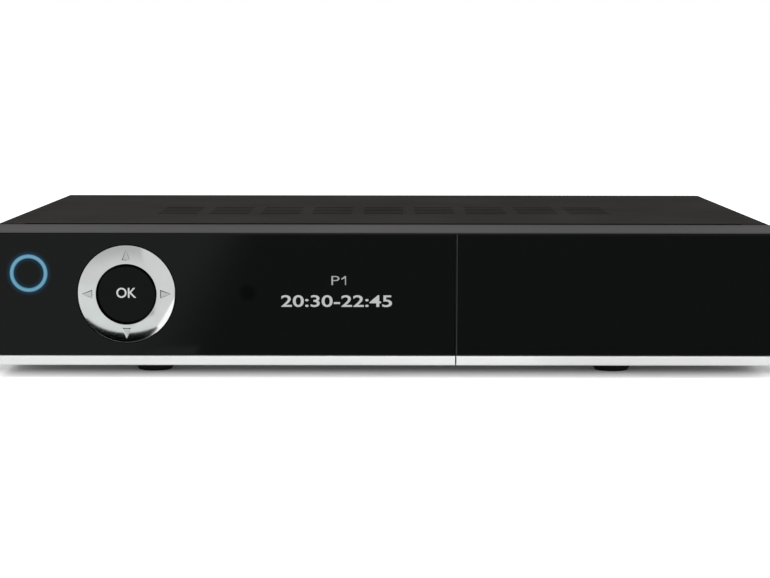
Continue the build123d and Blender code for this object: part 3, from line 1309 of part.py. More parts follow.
# ================================================================ export
pieces = {
    "top_cover": top_cover,
    "chassis_pan": chassis_pan,
    "feet": feet,
    "case_screws": case_screws,
    "standoffs": standoffs,
    "front_bezel": front_bezel,
    "fascia": fascia,
    "fascia_strip": fascia_strip,
    "flap_skin": flap_skin,
    "flap_strip": flap_strip,
    "flap_frame": flap_frame,
    "hinge_pins": hinge_pins,
    "strike_plate": strike_plate,
    "latch_magnet": latch_magnet,
    "slot_panel": slot_panel,
    "ci_cage": ci_cage,
    "ci_eject_button": ci_eject_button,
    "card_reader": card_reader,
    "power_light_ring": power_light_ring,
    "power_button": power_button,
    "power_plunger": power_plunger,
    "nav_ring": nav_ring,
    "nav_gimbal": nav_gimbal,
    "ok_button": ok_button,
    "ok_guide": ok_guide,
    "ok_plunger": ok_plunger,
    **{f"nav_plunger_{way}": plunger for way, plunger in nav_plungers.items()},
    "key_board": key_board,
    "board_screws": board_screws,
    "tact_switches": tact_switches,
    "ir_window": ir_window,
    "ir_receiver": ir_receiver,
    "display_module": display_module,
    "board_sockets": board_sockets,
    "board_cables": board_cables,
    "main_board": main_board,
    "tuner_can": tuner_can,
    "aerial_sockets": aerial_sockets,
    "aerial_nuts": aerial_nuts,
    "usb_sockets": usb_sockets,
    "hdmi_socket": hdmi_socket,
    "lan_socket": lan_socket,
    "optical_socket": optical_socket,
    "optical_shutter": optical_shutter,
    "coax_socket": coax_socket,
    "socket_inserts": socket_inserts,
    "chips_and_leds": chips_and_leds,
    "heatsinks": heatsinks,
    "capacitors": capacitors,
    "mains_inlet": mains_inlet,
    "mains_terminals": mains_terminals,
    "mains_switch": mains_switch,
    "mains_rocker": mains_rocker,
    "power_board": power_board,
    "transformer": transformer,
    "transformer_winding": transformer_winding,
    "mains_filter": mains_filter,
}

os.makedirs("parts", exist_ok=True)
for name, piece in pieces.items():
    piece.part.label = name
    export_step(piece.part, f"parts/{name}.step")
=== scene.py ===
"""Dresses a compact satellite receiver: finishes, lit parts, fine fittings, studio and camera.

Everything is in metres in the shared frame: +X right, +Y towards the rear, +Z up, origin on the
resting plane. Sizes in the classes are in millimetres and become metres where a mesh is made.
"""
from __future__ import annotations

import logging
import math
from dataclasses import dataclass, field
from enum import Enum
from functools import cache, reduce
from operator import or_

import bmesh
import bpy
import numpy as np
from mathutils import Matrix, Vector


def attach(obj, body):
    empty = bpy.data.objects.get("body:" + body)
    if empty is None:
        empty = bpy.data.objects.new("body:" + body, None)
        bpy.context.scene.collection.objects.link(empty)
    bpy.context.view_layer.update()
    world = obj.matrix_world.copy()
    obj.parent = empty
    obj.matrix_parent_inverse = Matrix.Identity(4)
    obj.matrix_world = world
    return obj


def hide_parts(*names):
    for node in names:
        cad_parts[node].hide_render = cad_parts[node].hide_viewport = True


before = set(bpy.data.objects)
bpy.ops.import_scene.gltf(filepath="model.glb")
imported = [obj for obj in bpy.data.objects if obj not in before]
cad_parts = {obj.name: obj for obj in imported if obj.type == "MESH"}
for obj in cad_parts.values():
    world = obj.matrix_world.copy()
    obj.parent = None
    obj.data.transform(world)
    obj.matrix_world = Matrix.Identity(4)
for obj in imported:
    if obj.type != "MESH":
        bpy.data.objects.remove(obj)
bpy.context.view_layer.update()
MM = 0.001
LOG = logging.getLogger("receiver")
Pair = tuple[float, float]
Triple = tuple[float, float, float]
Colour = Triple
Surface = tuple[np.ndarray, np.ndarray]


class NodeBox:
    """The box of a CAD node: its low corner, middle and high corner, in millimetres."""

    def __init__(self, node: str) -> None:
        """Measures a node, to a hundredth of a millimetre.

        Args:
            node: The node's name.
        """
        corners = np.array(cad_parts[node].bound_box) / MM
        self.low: Triple = tuple(np.round(corners.min(0), 2).tolist())
        self.high: Triple = tuple(np.round(corners.max(0), 2).tolist())
        self.middle: Triple = tuple((a + b) / 2 for a, b in zip(self.low, self.high))


# Shared by shapes and finishes on the front, in millimetres: the middles of the four-way ring,
# which its gimbal shares, and of the light ring, as X and Z; where a sunk triangle starts and
# ends, from the ring's middle, and half its base; the light ring's mean radius.
GIMBAL = NodeBox("nav_gimbal")
RING_CENTRE: Pair = GIMBAL.middle[::2]
TRIANGLE: Triple = (12.3, 16.2, 1.6)
LAMP_CENTRE: Pair = NodeBox("power_light_ring").middle[::2]
LAMP_RADIUS = 6.15


def grey(level: float) -> Colour:
    """A grey of a level."""
    return (level, level, level)


def tint(colour: Colour, share: float) -> Colour:
    """A colour times a share."""
    return tuple(share * part for part in colour)


# ------------------------------------------------------------------ shader maths
class Field:
    """A value that varies over a surface. Arithmetic on it adds Math nodes."""

    def __init__(self, recipe: Recipe, socket: bpy.types.NodeSocket) -> None:
        """Wraps a socket.

        Args:
            recipe: The material being built.
            socket: The output that carries the value.
        """
        self.recipe = recipe
        self.socket = socket

    def _math(self, operation: str, *operands: Field | float) -> Field:
        """Adds a Math node.

        Args:
            operation: The node's operation.
            operands: Its inputs, in order.

        Returns:
            The node's result.
        """
        return self.recipe.node(
            "ShaderNodeMath", {"operation": operation}, dict(enumerate(operands))
        )

    def __add__(self, other: Field | float) -> Field:
        """Sum."""
        return self._math("ADD", self, other)

    __radd__ = __add__

    def __mul__(self, other: Field | float) -> Field:
        """Product."""
        return self._math("MULTIPLY", self, other)

    __rmul__ = __mul__

    def __sub__(self, other: Field | float) -> Field:
        """Difference."""
        return self._math("SUBTRACT", self, other)

    def __rsub__(self, other: float) -> Field:
        """Difference from a number."""
        return self._math("SUBTRACT", other, self)

    def __truediv__(self, other: Field | float) -> Field:
        """Quotient."""
        return self._math("DIVIDE", self, other)

    def __abs__(self) -> Field:
        """Size without sign."""
        return self._math("ABSOLUTE", self)

    def __or__(self, other: Field | float) -> Field:
        """The larger of two values: either mask."""
        return self._math("MAXIMUM", self, other)

    def __and__(self, other: Field | float) -> Field:
        """The smaller of two values: both masks."""
        return self._math("MINIMUM", self, other)

    def reach(self, other: Field) -> Field:
        """Length of the vector with these two components."""
        return self._math("SQRT", self * self + other * other)

    def repeat(self, period: float) -> Field:
        """Distance from the nearest multiple of a period."""
        return abs(self._math("WRAP", self, period / 2, -period / 2))

    def rise(self, low: float, high: float) -> Field:
        """Soft step from 0 at low to 1 at high."""
        return self.recipe.node(
            "ShaderNodeMapRange",
            {"interpolation_type": "SMOOTHSTEP"},
            {"Value": self, "From Min": low, "From Max": high},
        )


def away_from(centre: Pair, x: Field, z: Field) -> Field:
    """Distance from a place on the front, given as its X and Z."""
    return (x - centre[0]).reach(z - centre[1])


class Recipe:
    """Builds the nodes of one material, or of the world."""

    def __init__(self, name: str, world: bpy.types.World | None = None) -> None:
        """Starts with no nodes.

        Args:
            name: The material's name.
            world: The world, where the nodes are for it.
        """
        self.owner = world or bpy.data.materials.new("finish_" + name)
        self.owner.use_nodes = True
        self.tree = self.owner.node_tree
        self.tree.nodes.clear()

    def feed(self, socket: bpy.types.NodeSocket, value: object) -> None:
        """Sets a socket, or links a field to it.

        Args:
            socket: The input.
            value: A field, a number, or a colour or vector as a tuple.
        """
        if isinstance(value, Field):
            self.tree.links.new(value.socket, socket)
        elif isinstance(value, tuple) and len(socket.default_value) == 4 and len(value) == 3:
            socket.default_value = (*value, 1.0)
        else:
            socket.default_value = value

    def node(
        self,
        kind: str,
        settings: dict[str, object] | None = None,
        inputs: dict[str | int, object] | None = None,
        output: str | int = 0,
    ) -> Field:
        """Adds any node.

        Args:
            kind: The node's type.
            settings: Its own properties, set before the inputs.
            inputs: Values or fields for its sockets.
            output: The socket to return.

        Returns:
            The chosen output.
        """
        made = self.tree.nodes.new(kind)
        for key, value in (settings or {}).items():
            setattr(made, key, value)
        for key, value in (inputs or {}).items():
            self.feed(made.inputs[key], value)
        return Field(self, made.outputs[output])

    def place(self) -> Field:
        """Place on the object, in millimetres, as a vector."""
        metres = self.node("ShaderNodeTexCoord", output="Object")
        return self.node(
            "ShaderNodeVectorMath", {"operation": "SCALE"}, {0: metres, "Scale": 1000.0}
        )

    def parts(self, vector: Field) -> tuple[Field, Field, Field]:
        """The three parts of a vector."""
        split = self.node("ShaderNodeSeparateXYZ", inputs={0: vector})
        return tuple(Field(self, out) for out in split.socket.node.outputs)

    def axes(self) -> tuple[Field, Field, Field]:
        """Place on the object, in millimetres, as three numbers."""
        return self.parts(self.place())

    def facing(self) -> tuple[Field, Field, Field]:
        """The way that the surface faces, as the three parts of its true normal."""
        return self.parts(self.node("ShaderNodeNewGeometry", output="True Normal"))

    def rays(self, *kinds: str) -> Field:
        """1 for rays of the given kinds and 0 for others.

        Args:
            kinds: Names of outputs of the Light Path node.

        Returns:
            The mask.
        """
        outputs = self.node("ShaderNodeLightPath").socket.node.outputs
        return reduce(or_, (Field(self, outputs[kind]) for kind in kinds))

    def noise(self, size: float, detail: float = 2.0, stretch: Triple = (1, 1, 1)) -> Field:
        """Cloudy noise.

        Args:
            size: Width of a typical cloud in millimetres.
            detail: Octaves of finer noise.
            stretch: How much longer the clouds are along each axis.

        Returns:
            A value around 0.5.
        """
        scaled = self.node(
            "ShaderNodeMapping",
            {"vector_type": "POINT"},
            {"Vector": self.place(), "Scale": tuple(1 / (size * s) for s in stretch)},
        )
        return self.node(
            "ShaderNodeTexNoise", inputs={"Vector": scaled, "Scale": 1.0, "Detail": detail}
        )

    def cells(self, size: float, output: str = "Distance") -> Field:
        """Cell pattern.

        Args:
            size: Width of a cell in millimetres.
            output: Which result to read.

        Returns:
            The chosen value of the pattern.
        """
        inputs = {"Vector": self.place(), "Scale": 1 / size}
        return self.node("ShaderNodeTexVoronoi", inputs=inputs, output=output)

    def mix(self, mask: Field | float, low: object, high: object) -> Field:
        """Colour that goes from low to high as the mask goes from 0 to 1."""
        return self.node(
            "ShaderNodeMix", {"data_type": "RGBA", "clamp_factor": True},
            {0: mask, 6: low, 7: high}, 2,
        )

    def mottled(self, mask: Field, colour: Colour, low: float, high: float = 1.0) -> Field:
        """The colour times a share that goes from low to high as the mask goes from 0 to 1."""
        return self.mix(mask, tint(colour, low), tint(colour, high))

    def bump(self, height: Field, distance: float, strength: float) -> Field:
        """Surface relief.

        Args:
            height: Height from 0 to 1.
            distance: Millimetres that a height of 1 stands for.
            strength: Share of the relief that is used.

        Returns:
            A normal.
        """
        inputs = {"Height": height, "Distance": distance * MM, "Strength": strength}
        return self.node("ShaderNodeBump", inputs=inputs)

    def principled(self, **inputs: object) -> bpy.types.Material:
        """Closes the material with a Principled shader.

        Args:
            inputs: Its sockets by name, with underscores for spaces.

        Returns:
            The finished material.
        """
        named = {key.replace("_", " "): value for key, value in inputs.items()}
        return self.close(self.node("ShaderNodeBsdfPrincipled", inputs=named))

    def close(self, shader: Field) -> bpy.types.Material | bpy.types.World:
        """Links a shader to the output and returns what the nodes belong to."""
        end = self.tree.nodes.new("ShaderNodeOutput" + type(self.owner).__name__)
        self.feed(end.inputs["Surface"], shader)
        return self.owner


# ------------------------------------------------------------------ finishes
@dataclass(frozen=True)
class PowderPaint:
    """Fine-grained matt paint on sheet steel."""

    name: str
    colour: Colour
    grain: float = 0.35
    roughness: float = 0.62
    gloss: float = 0.1
    # Near-black painted shade for the walls of the slots through the top.
    bare: Colour = grey(0.004)
    top_z: float = NodeBox("top_cover").high[2]
    slots: Pair = (0.85, 0.03)
    slots_reach: float = 130.0

    def material(self) -> bpy.types.Material:
        """Grain from two sizes of noise, which lifts the paint and speckles its colour.

        On the walls of the slots through the top the colour is near black: painted shade.
        """
        recipe = Recipe(self.name)
        x, _, z = recipe.axes()
        fine, broad = recipe.noise(self.grain, 3), recipe.noise(40.0)
        low, high = (self.top_z - down for down in self.slots)
        # The walls of the slots, which get the painted shade instead of the paint.
        wall = z.rise(low, low + 0.02) & (1 - z.rise(high - 0.02, high))
        wall = wall & (1 - abs(x).rise(self.slots_reach, self.slots_reach + 1))
        clouds = (fine * 0.6 + broad * 0.4).rise(0.3, 0.7)
        paint = recipe.mottled(clouds, self.colour, 0.8, 1.16)
        return recipe.principled(
            Base_Color=recipe.mix(wall, paint, self.bare),
            Roughness=fine * 0.16 + (self.roughness - 0.08),
            Specular_IOR_Level=self.gloss,
            Normal=recipe.bump(fine + recipe.cells(self.grain * 1.7) * 0.5, 0.05, 0.5),
        )


@dataclass(frozen=True)
class Moulded:
    """Moulded plastic or rubber with a spark-eroded grain."""

    name: str
    colour: Colour
    grain: float = 0.25
    roughness: float = 0.45
    gloss: float = 0.3
    relief: float = 0.02

    def material(self) -> bpy.types.Material:
        """Cells and noise raise a fine leather-like grain, with faint flow marks in the colour."""
        recipe = Recipe(self.name)
        grain = recipe.noise(self.grain, 2) * 0.6 + recipe.cells(self.grain * 2) * 0.4
        flow = recipe.noise(25.0, 1, (3, 1, 1))
        return recipe.principled(
            Base_Color=recipe.mottled(flow.rise(0.3, 0.7), self.colour, 0.93, 1.06),
            Roughness=grain * 0.12 + (self.roughness - 0.06),
            Specular_IOR_Level=self.gloss,
            Normal=recipe.bump(grain, self.relief, 0.6),
        )


@dataclass(frozen=True)
class PolishedFront:
    """Polished smoked plastic, with the glow of the light ring and the receiver's window in it."""

    name: str
    colour: Colour = (0.0026, 0.0028, 0.0028)
    # A painted highlight: a pale line along the flap's left edge, where the edge catches light.
    raw_edge: Colour = (0.08, 0.081, 0.081)
    glow: Colour = (0.0014, 0.026, 0.055)
    half_lamp: float = 0.7
    leak: Pair = (-0.4, 1.7)
    window: Pair = NodeBox("ir_window").middle[::2]
    window_edge: Pair = (1.7, 4.0)
    window_shade: Colour = (0.0005, 0.0005, 0.0006)
    flap_left: float = NodeBox("flap_skin").low[0]
    edge_in: float = 0.07
    edge: Pair = (0.09, 0.14)
    gloss: float = 0.14

    def material(self) -> bpy.types.Material:
        """Places on the front: leaking light, a darker round window and the flap's painted
        highlight.

        The light falls off on both sides of the lit ring, from the ring's own two edges.
        """
        recipe = Recipe(self.name)
        x, _, z = recipe.axes()
        from_ring = abs(away_from(LAMP_CENTRE, x, z) - LAMP_RADIUS) - self.half_lamp
        pane = 1 - away_from(self.window, x, z).rise(*self.window_edge)
        # Mask of the painted highlight along the flap's left edge.
        rim = 1 - abs(x - (self.flap_left + self.edge_in)).rise(*self.edge)
        haze = recipe.noise(18.0, 3)
        panel = recipe.mix(pane, self.colour, self.window_shade)
        return recipe.principled(
            Base_Color=recipe.mix(rim, panel, self.raw_edge),
            Roughness=haze * 0.03 + 0.045,
            Specular_IOR_Level=self.gloss,
            Emission_Color=recipe.mix(from_ring.rise(*self.leak), self.glow, grey(0.0)),
            Emission_Strength=1.0,
            Normal=recipe.bump(recipe.noise(6.0, 1), 0.004, 0.25),
        )


@dataclass(frozen=True)
class Plated:
    """Bright metal: plated plastic, tin plate, nickel or spun aluminium."""

    name: str
    colour: Colour
    roughness: float = 0.22
    streak: Triple = (1, 1, 1)
    size: float = 1.2
    relief: float = 0.003

    def material(self) -> bpy.types.Material:
        """Streaks along one axis vary the gloss, and a faint relief breaks up reflections."""
        recipe = Recipe(self.name)
        streaks, patches = recipe.noise(self.size, 3, self.streak), recipe.noise(9.0, 2)
        return recipe.principled(
            Base_Color=recipe.mottled(patches.rise(0.3, 0.7), self.colour, 0.94),
            Metallic=1.0,
            Roughness=streaks * 0.14 + (self.roughness - 0.07),
            Normal=recipe.bump(streaks, self.relief, 0.5),
        )


@dataclass(frozen=True)
class PlatedRing:
    """Bright satin plating on the four-way ring, with painted shade on one side of the engraving."""

    name: str = "ring_silver"
    colour: Colour = (0.66, 0.665, 0.665)
    # Colour of the painted shade on engraved walls that face away from the upper left.
    stain: Colour = (0.05, 0.05, 0.052)
    around: float = 0.4

    def material(self) -> bpy.types.Material:
        """Engraved walls that face down or to the right get painted shade, and floors are duller.

        A floor is where the lesser of the two distances from the middle stays below the
        triangle's half width, which shrinks evenly from its base to its tip. The painted shade is
        looked for a little around the triangles too.
        """
        recipe = Recipe(self.name)
        x, _, z = recipe.axes()
        across, ahead, upward = recipe.facing()
        base, tip, half_width = TRIANGLE
        low, high = base - self.around, tip + self.around
        out = away_from(RING_CENTRE, x, z)
        steep = 1 - abs(ahead).rise(0.86, 0.93)
        # Walls that face down or to the right, away from the upper left, get painted shade.
        painted_shade_facing = (across * 0.4 - upward * 0.9).rise(0.12, 0.4)
        there = out.rise(low - 0.1, low) & (1 - out.rise(high, high + 0.1))
        reach_x, reach_z = abs(x - RING_CENTRE[0]), abs(z - RING_CENTRE[1])
        way = reach_x | reach_z
        width = (1 - (way - base) / (tip - base)) * half_width
        floor = (width - (reach_x & reach_z)).rise(0.0, 0.3) & way.rise(base, base + 0.2)
        haze, patches = recipe.noise(0.5, 3), recipe.noise(9.0, 2)
        plating = recipe.mottled(patches.rise(0.3, 0.7), self.colour, 0.96)
        plating = recipe.mix(floor, plating, tint(self.colour, 0.8))
        return recipe.principled(
            Base_Color=recipe.mix(steep & painted_shade_facing & there, plating, self.stain),
            Metallic=1.0,
            Roughness=haze * 0.08 + 0.07,
            Normal=recipe.bump(haze, 0.001, 0.4),
        )


@dataclass(frozen=True)
class Spangled:
    """Zinc-coated sheet: faint crystals, lines from the rolls and a haze from handling."""

    name: str = "zinc_sheet"
    colour: Colour = (0.40, 0.405, 0.41)
    crystal: float = 3.2

    def material(self) -> bpy.types.Material:
        """Each crystal has its own slight shade and gloss; the lines run across the sheet."""
        recipe = Recipe(self.name)
        shade = recipe.cells(self.crystal, output="Color")
        crystals = recipe.node("ShaderNodeSeparateColor", inputs={0: shade})
        lines = recipe.noise(0.6, 2, (60, 1, 1))
        haze = recipe.noise(35.0, 3)
        tone = crystals * 0.3 + lines * 0.3 + haze.rise(0.3, 0.7) * 0.4
        return recipe.principled(
            Base_Color=recipe.mottled(tone, self.colour, 0.92, 1.1),
            Metallic=1.0,
            Roughness=crystals * 0.06 + haze * 0.1 + lines * 0.06 + 0.24,
            Normal=recipe.bump(lines, 0.004, 0.5),
        )


@dataclass(frozen=True)
class LightGuide:
    """Clear plastic ring, lit from behind."""

    name: str = "lit_guide"
    rim: Colour = (0.025, 0.12, 0.20)
    core: Colour = (0.13, 0.30, 0.40)
    body: Colour = (0.02, 0.05, 0.07)

    def material(self) -> bpy.types.Material:
        """Brightest along the middle of the ring, and a little uneven between its lamps."""
        recipe = Recipe(self.name)
        x, _, z = recipe.axes()
        ridge = 1 - abs(away_from(LAMP_CENTRE, x, z) - LAMP_RADIUS).rise(0.25, 0.8)
        uneven = recipe.noise(6.0, 1) * 0.5 + 0.75
        return recipe.principled(
            Base_Color=self.body,
            Roughness=0.3,
            Specular_IOR_Level=0.2,
            Emission_Color=recipe.mix(ridge * uneven, self.rim, self.core),
            Emission_Strength=1.0,
        )


@dataclass(frozen=True)
class Lit:
    """Characters that shine or are printed in one colour."""

    name: str
    colour: Colour
    shines: bool = True

    def material(self) -> bpy.types.Material:
        """A flat colour with a slight mottle, which either shines or is only printed."""
        recipe = Recipe(self.name)
        shade = recipe.mottled(recipe.noise(0.5, 2).rise(0.2, 0.8), self.colour, 0.9)
        return recipe.principled(
            Base_Color=grey(0.02) if self.shines else shade,
            Roughness=0.4,
            Specular_IOR_Level=0.2,
            Emission_Color=shade,
            Emission_Strength=float(self.shines),
        )


@dataclass(frozen=True)
class CircuitBoard:
    """Solder resist over copper tracks, with tinned pads."""

    name: str = "circuit_board"
    resist: Colour = (0.012, 0.075, 0.03)
    track: Colour = (0.03, 0.14, 0.055)
    tin: Colour = (0.55, 0.55, 0.52)
    pitches: Pair = (1.27, 1.9)
    half_track: Pair = (0.12, 0.2)
    pad_cell: float = 3.1
    pad: Pair = (0.12, 0.15)

    def material(self) -> bpy.types.Material:
        """Tracks follow a grid that noise breaks up; pads are small round spots."""
        recipe = Recipe(self.name)
        x, y, z = recipe.axes()
        grid = (x + z).repeat(self.pitches[0]) & (y + z).repeat(self.pitches[1])
        tracks = (1 - grid.rise(*self.half_track)) & recipe.noise(7.0, 1).rise(0.48, 0.52)
        spots = 1 - recipe.cells(self.pad_cell).rise(*self.pad)
        pads = spots & recipe.noise(11.0, 1).rise(0.5, 0.55)
        green = recipe.mix(tracks, self.resist, self.track)
        return recipe.principled(
            Base_Color=recipe.mix(pads, green, self.tin),
            Metallic=pads * 0.9,
            Roughness=0.36 - pads * 0.1,
            Specular_IOR_Level=0.4,
            Normal=recipe.bump(tracks + pads, 0.03, 0.6),
        )


@dataclass(frozen=True)
class CanSleeve:
    """Shrink sleeve of an upright capacitor, with an uncovered top."""

    name: str = "can_sleeve"
    wrap: Colour = (0.012, 0.016, 0.05)
    stripe: Colour = grey(0.5)
    top: Colour = grey(0.6)

    def material(self) -> bpy.types.Material:
        """The way that the surface faces picks the uncovered top, and a pale stripe at the right."""
        recipe = Recipe(self.name)
        across, _, upward = recipe.facing()
        up, side = upward.rise(0.6, 0.8), across.rise(0.8, 0.86)
        return recipe.principled(
            Base_Color=recipe.mix(up, recipe.mix(side, self.wrap, self.stripe), self.top),
            Metallic=up,
            Roughness=0.35 + recipe.noise(1.0, 2) * 0.1,
        )


@dataclass(frozen=True)
class CoaxialJack:
    """Black moulded block and collar, with a plated barrel that stands out of the rear wall."""

    name: str = "coaxial_jack"
    barrel_y: float = 85.62
    block: Colour = (0.014, 0.014, 0.015)
    plated: Colour = (0.56, 0.55, 0.52)

    def material(self) -> bpy.types.Material:
        """Place along the jack picks the plating."""
        recipe = Recipe(self.name)
        _, y, _ = recipe.axes()
        barrel = y.rise(self.barrel_y, self.barrel_y + 0.05)
        grain = recipe.noise(0.4, 2)
        return recipe.principled(
            Base_Color=recipe.mix(barrel, self.block, self.plated),
            Metallic=barrel,
            Roughness=grain * 0.1 + 0.36 - barrel * 0.14,
            Specular_IOR_Level=0.35,
            Normal=recipe.bump(grain, 0.008, 0.5),
        )


@dataclass(frozen=True)
class Inserts:
    """Insulators of the round sockets, and the tongues of the flat ones."""

    name: str = "socket_inserts"
    orange: Colour = (0.70, 0.22, 0.03)
    white: Colour = (0.72, 0.71, 0.68)
    black: Colour = grey(0.02)
    coaxial_x: float = NodeBox("coax_socket").middle[0]
    coaxial_reach: float = 5.0
    aerial_x: float = NodeBox("aerial_sockets").middle[0]
    aerial_reach: float = 17.5

    def within(self, x: Field, middle: float, reach: float) -> Field:
        """1 within a reach of a place across the rear, 0 outside it."""
        return 1 - abs(x - middle).rise(reach, reach + 0.5)

    def material(self) -> bpy.types.Material:
        """Orange in the audio socket and white in the aerial sockets; the flat tongues are black.

        The inserts of the aerial sockets are those at the rear within a reach of their middle.
        """
        recipe = Recipe(self.name)
        x, y, _ = recipe.axes()
        audio = self.within(x, self.coaxial_x, self.coaxial_reach)
        aerial = self.within(x, self.aerial_x, self.aerial_reach) & y.rise(-1.0, 1.0)
        base = recipe.mix(audio, self.white, self.orange)
        return recipe.principled(
            Base_Color=recipe.mix(1 - (aerial | audio), base, self.black),
            Roughness=recipe.noise(0.6, 2) * 0.1 + 0.35,
            Specular_IOR_Level=0.4,
        )


class Finish(Enum):
    """Every finish of the receiver."""

    COVER = PowderPaint("cover_paint", (0.031, 0.029, 0.028), gloss=0.0)
    SCREW = PowderPaint("screw_black", (0.020, 0.020, 0.021), 0.2, 0.4, 0.4)
    PAN = Spangled()
    RUBBER = Moulded("foot_rubber", grey(0.012), 0.4, 0.75, 0.2, 0.03)
    BEZEL = Moulded("bezel_grey", grey(0.068), 0.18, 0.5, 0.05, 0.012)
    FRONT = PolishedFront("front_gloss")
    KEY = PolishedFront("key_gloss", gloss=0.085)
    STRIP = Moulded("bright_strip", (0.88, 0.885, 0.885), 0.15, 0.32, 0.4, 0.004)
    INNER = Moulded("inner_black", (0.018, 0.018, 0.019), 0.3, 0.5, 0.3)
    RING = PlatedRing()
    GUIDE = LightGuide()
    TIN = Plated("tin_plate", (0.66, 0.66, 0.65), 0.3, (1, 14, 1), 0.5)
    NICKEL = Plated("nickel", (0.54, 0.525, 0.49), 0.2)
    GOLD = Plated("gold_contact", (0.95, 0.68, 0.28), 0.2)
    ALUMINIUM = Plated("sink_aluminium", (0.62, 0.63, 0.64), 0.35, (1, 14, 1), 0.4)
    FERRITE = Moulded("ferrite", (0.03, 0.03, 0.032), 0.3, 0.55, 0.4, 0.02)
    BOARD = CircuitBoard()
    SOCKET = Moulded("socket_black", (0.014, 0.014, 0.015), 0.2, 0.4, 0.35, 0.01)
    PLUNGER = Moulded("plunger_plastic", grey(0.05), 0.2, 0.5, 0.3, 0.01)
    WINDOW = Moulded("window_dark", (0.010, 0.002, 0.003), 0.4, 0.12, 0.5, 0.001)
    GLASS = Moulded("display_glass", (0.006, 0.008, 0.009), 0.6, 0.1, 0.5, 0.001)
    PALE = Moulded("socket_pale", (0.70, 0.68, 0.61), 0.2, 0.4, 0.35, 0.01)
    CABLE = Moulded("cable_grey", (0.40, 0.40, 0.41), 0.3, 0.5, 0.3, 0.01)
    CHIP = Moulded("chip_black", grey(0.02), 0.12, 0.55, 0.3, 0.01)
    TAPE = Moulded("winding_tape", (0.65, 0.42, 0.05), 0.3, 0.3, 0.5, 0.01)
    FILTER = Moulded("filter_blue", (0.05, 0.14, 0.38), 0.3, 0.4, 0.4, 0.01)
    SLEEVE = CanSleeve()
    INSERTS = Inserts()
    COAXIAL = CoaxialJack()
    SHOWN = Lit("lit_characters", (0.52, 0.53, 0.53))
    FAINT = Lit("faint_characters", (0.38, 0.385, 0.385))
    PRINT = Lit("key_print", grey(0.66), False)
    MARK = Lit("rocker_mark", grey(0.70), False)

    @cache
    def material(self) -> bpy.types.Material:
        """The finish's material, built once."""
        return self.value.material()


NODES_BY_FINISH: dict[Finish, tuple[str, ...]] = {
    Finish.COVER: ("top_cover",),
    Finish.PAN: ("chassis_pan",),
    Finish.RUBBER: ("feet",),
    Finish.BEZEL: ("front_bezel",),
    Finish.FRONT: ("fascia", "flap_skin", "power_button"),
    Finish.KEY: ("ok_button",),
    Finish.STRIP: ("fascia_strip", "flap_strip"),
    Finish.INNER: ("flap_frame", "slot_panel", "nav_gimbal", "ok_guide", "ci_eject_button"),
    Finish.GUIDE: ("power_light_ring",),
    Finish.TIN: (
        "hinge_pins", "strike_plate", "ci_cage", "tuner_can", "standoffs", "board_screws",
        "usb_sockets", "hdmi_socket",
    ),
    Finish.FERRITE: ("latch_magnet", "transformer"),
    Finish.PLUNGER: (
        "power_plunger", "ok_plunger", "nav_plunger_up", "nav_plunger_down", "nav_plunger_left",
        "nav_plunger_right",
    ),
    Finish.BOARD: ("key_board", "main_board", "power_board"),
    Finish.SOCKET: (
        "tact_switches", "card_reader", "lan_socket", "optical_socket", "optical_shutter",
        "mains_inlet", "mains_switch", "mains_rocker", "ir_receiver",
    ),
    Finish.COAXIAL: ("coax_socket",),
    Finish.WINDOW: ("ir_window",),
    Finish.GLASS: ("display_module",),
    Finish.PALE: ("board_sockets",),
    Finish.INSERTS: ("socket_inserts",),
    Finish.CABLE: ("board_cables",),
    Finish.NICKEL: ("aerial_nuts", "mains_terminals"),
    Finish.CHIP: ("chips_and_leds",),
    Finish.ALUMINIUM: ("heatsinks",),
    Finish.SLEEVE: ("capacitors",),
    Finish.TAPE: ("transformer_winding",),
    Finish.FILTER: ("mains_filter",),
}


# ------------------------------------------------------------------ meshes from arrays
def grid_faces(rows: int, columns: int, wrap_rows: bool, wrap_columns: bool) -> np.ndarray:
    """Quads over a grid of points.

    Args:
        rows: Points along the first parameter.
        columns: Points along the second parameter.
        wrap_rows: Whether the last row joins the first.
        wrap_columns: Whether the last column joins the first.

    Returns:
        Vertex numbers, four to a face.
    """
    row = np.arange(rows if wrap_rows else rows - 1)
    column = np.arange(columns if wrap_columns else columns - 1)
    i, j = [part.ravel() for part in np.meshgrid(row, column, indexing="ij")]
    k, l = (i + 1) % rows, (j + 1) % columns
    return np.stack([i * columns + j, i * columns + l, k * columns + l, k * columns + j], axis=1)


def mesh_of(name: str, parts: list[Surface]) -> bpy.types.Mesh:
    """Mesh of several closed surfaces.

    Args:
        name: The mesh's name.
        parts: Points in millimetres and faces of each surface.

    Returns:
        A mesh in metres, its doubles merged, its faces outwards and its edges sharp past 32
        degrees.
    """
    points, faces, start = [], [], 0
    for some_points, some_faces in parts:
        points.append(some_points.reshape(-1, 3))
        faces.extend((some_faces + start).tolist())
        start += len(points[-1])
    mesh = bpy.data.meshes.new(name)
    mesh.from_pydata((np.concatenate(points) * MM).tolist(), [], faces)
    shell = bmesh.new()
    shell.from_mesh(mesh)
    bmesh.ops.remove_doubles(shell, verts=shell.verts, dist=2e-6)
    bmesh.ops.recalc_face_normals(shell, faces=shell.faces)
    shell.to_mesh(mesh)
    shell.free()
    mesh.shade_smooth()
    mesh.set_sharp_from_angle(angle=math.radians(32))
    return mesh


class Axis(Enum):
    """The line that a round piece is turned about."""

    DEEP = "along Y"
    UPRIGHT = "along Z"


def full_turn(steps: int) -> np.ndarray:
    """Evenly spaced angles round a circle, in radians."""
    return np.linspace(0, 2 * np.pi, steps, endpoint=False)


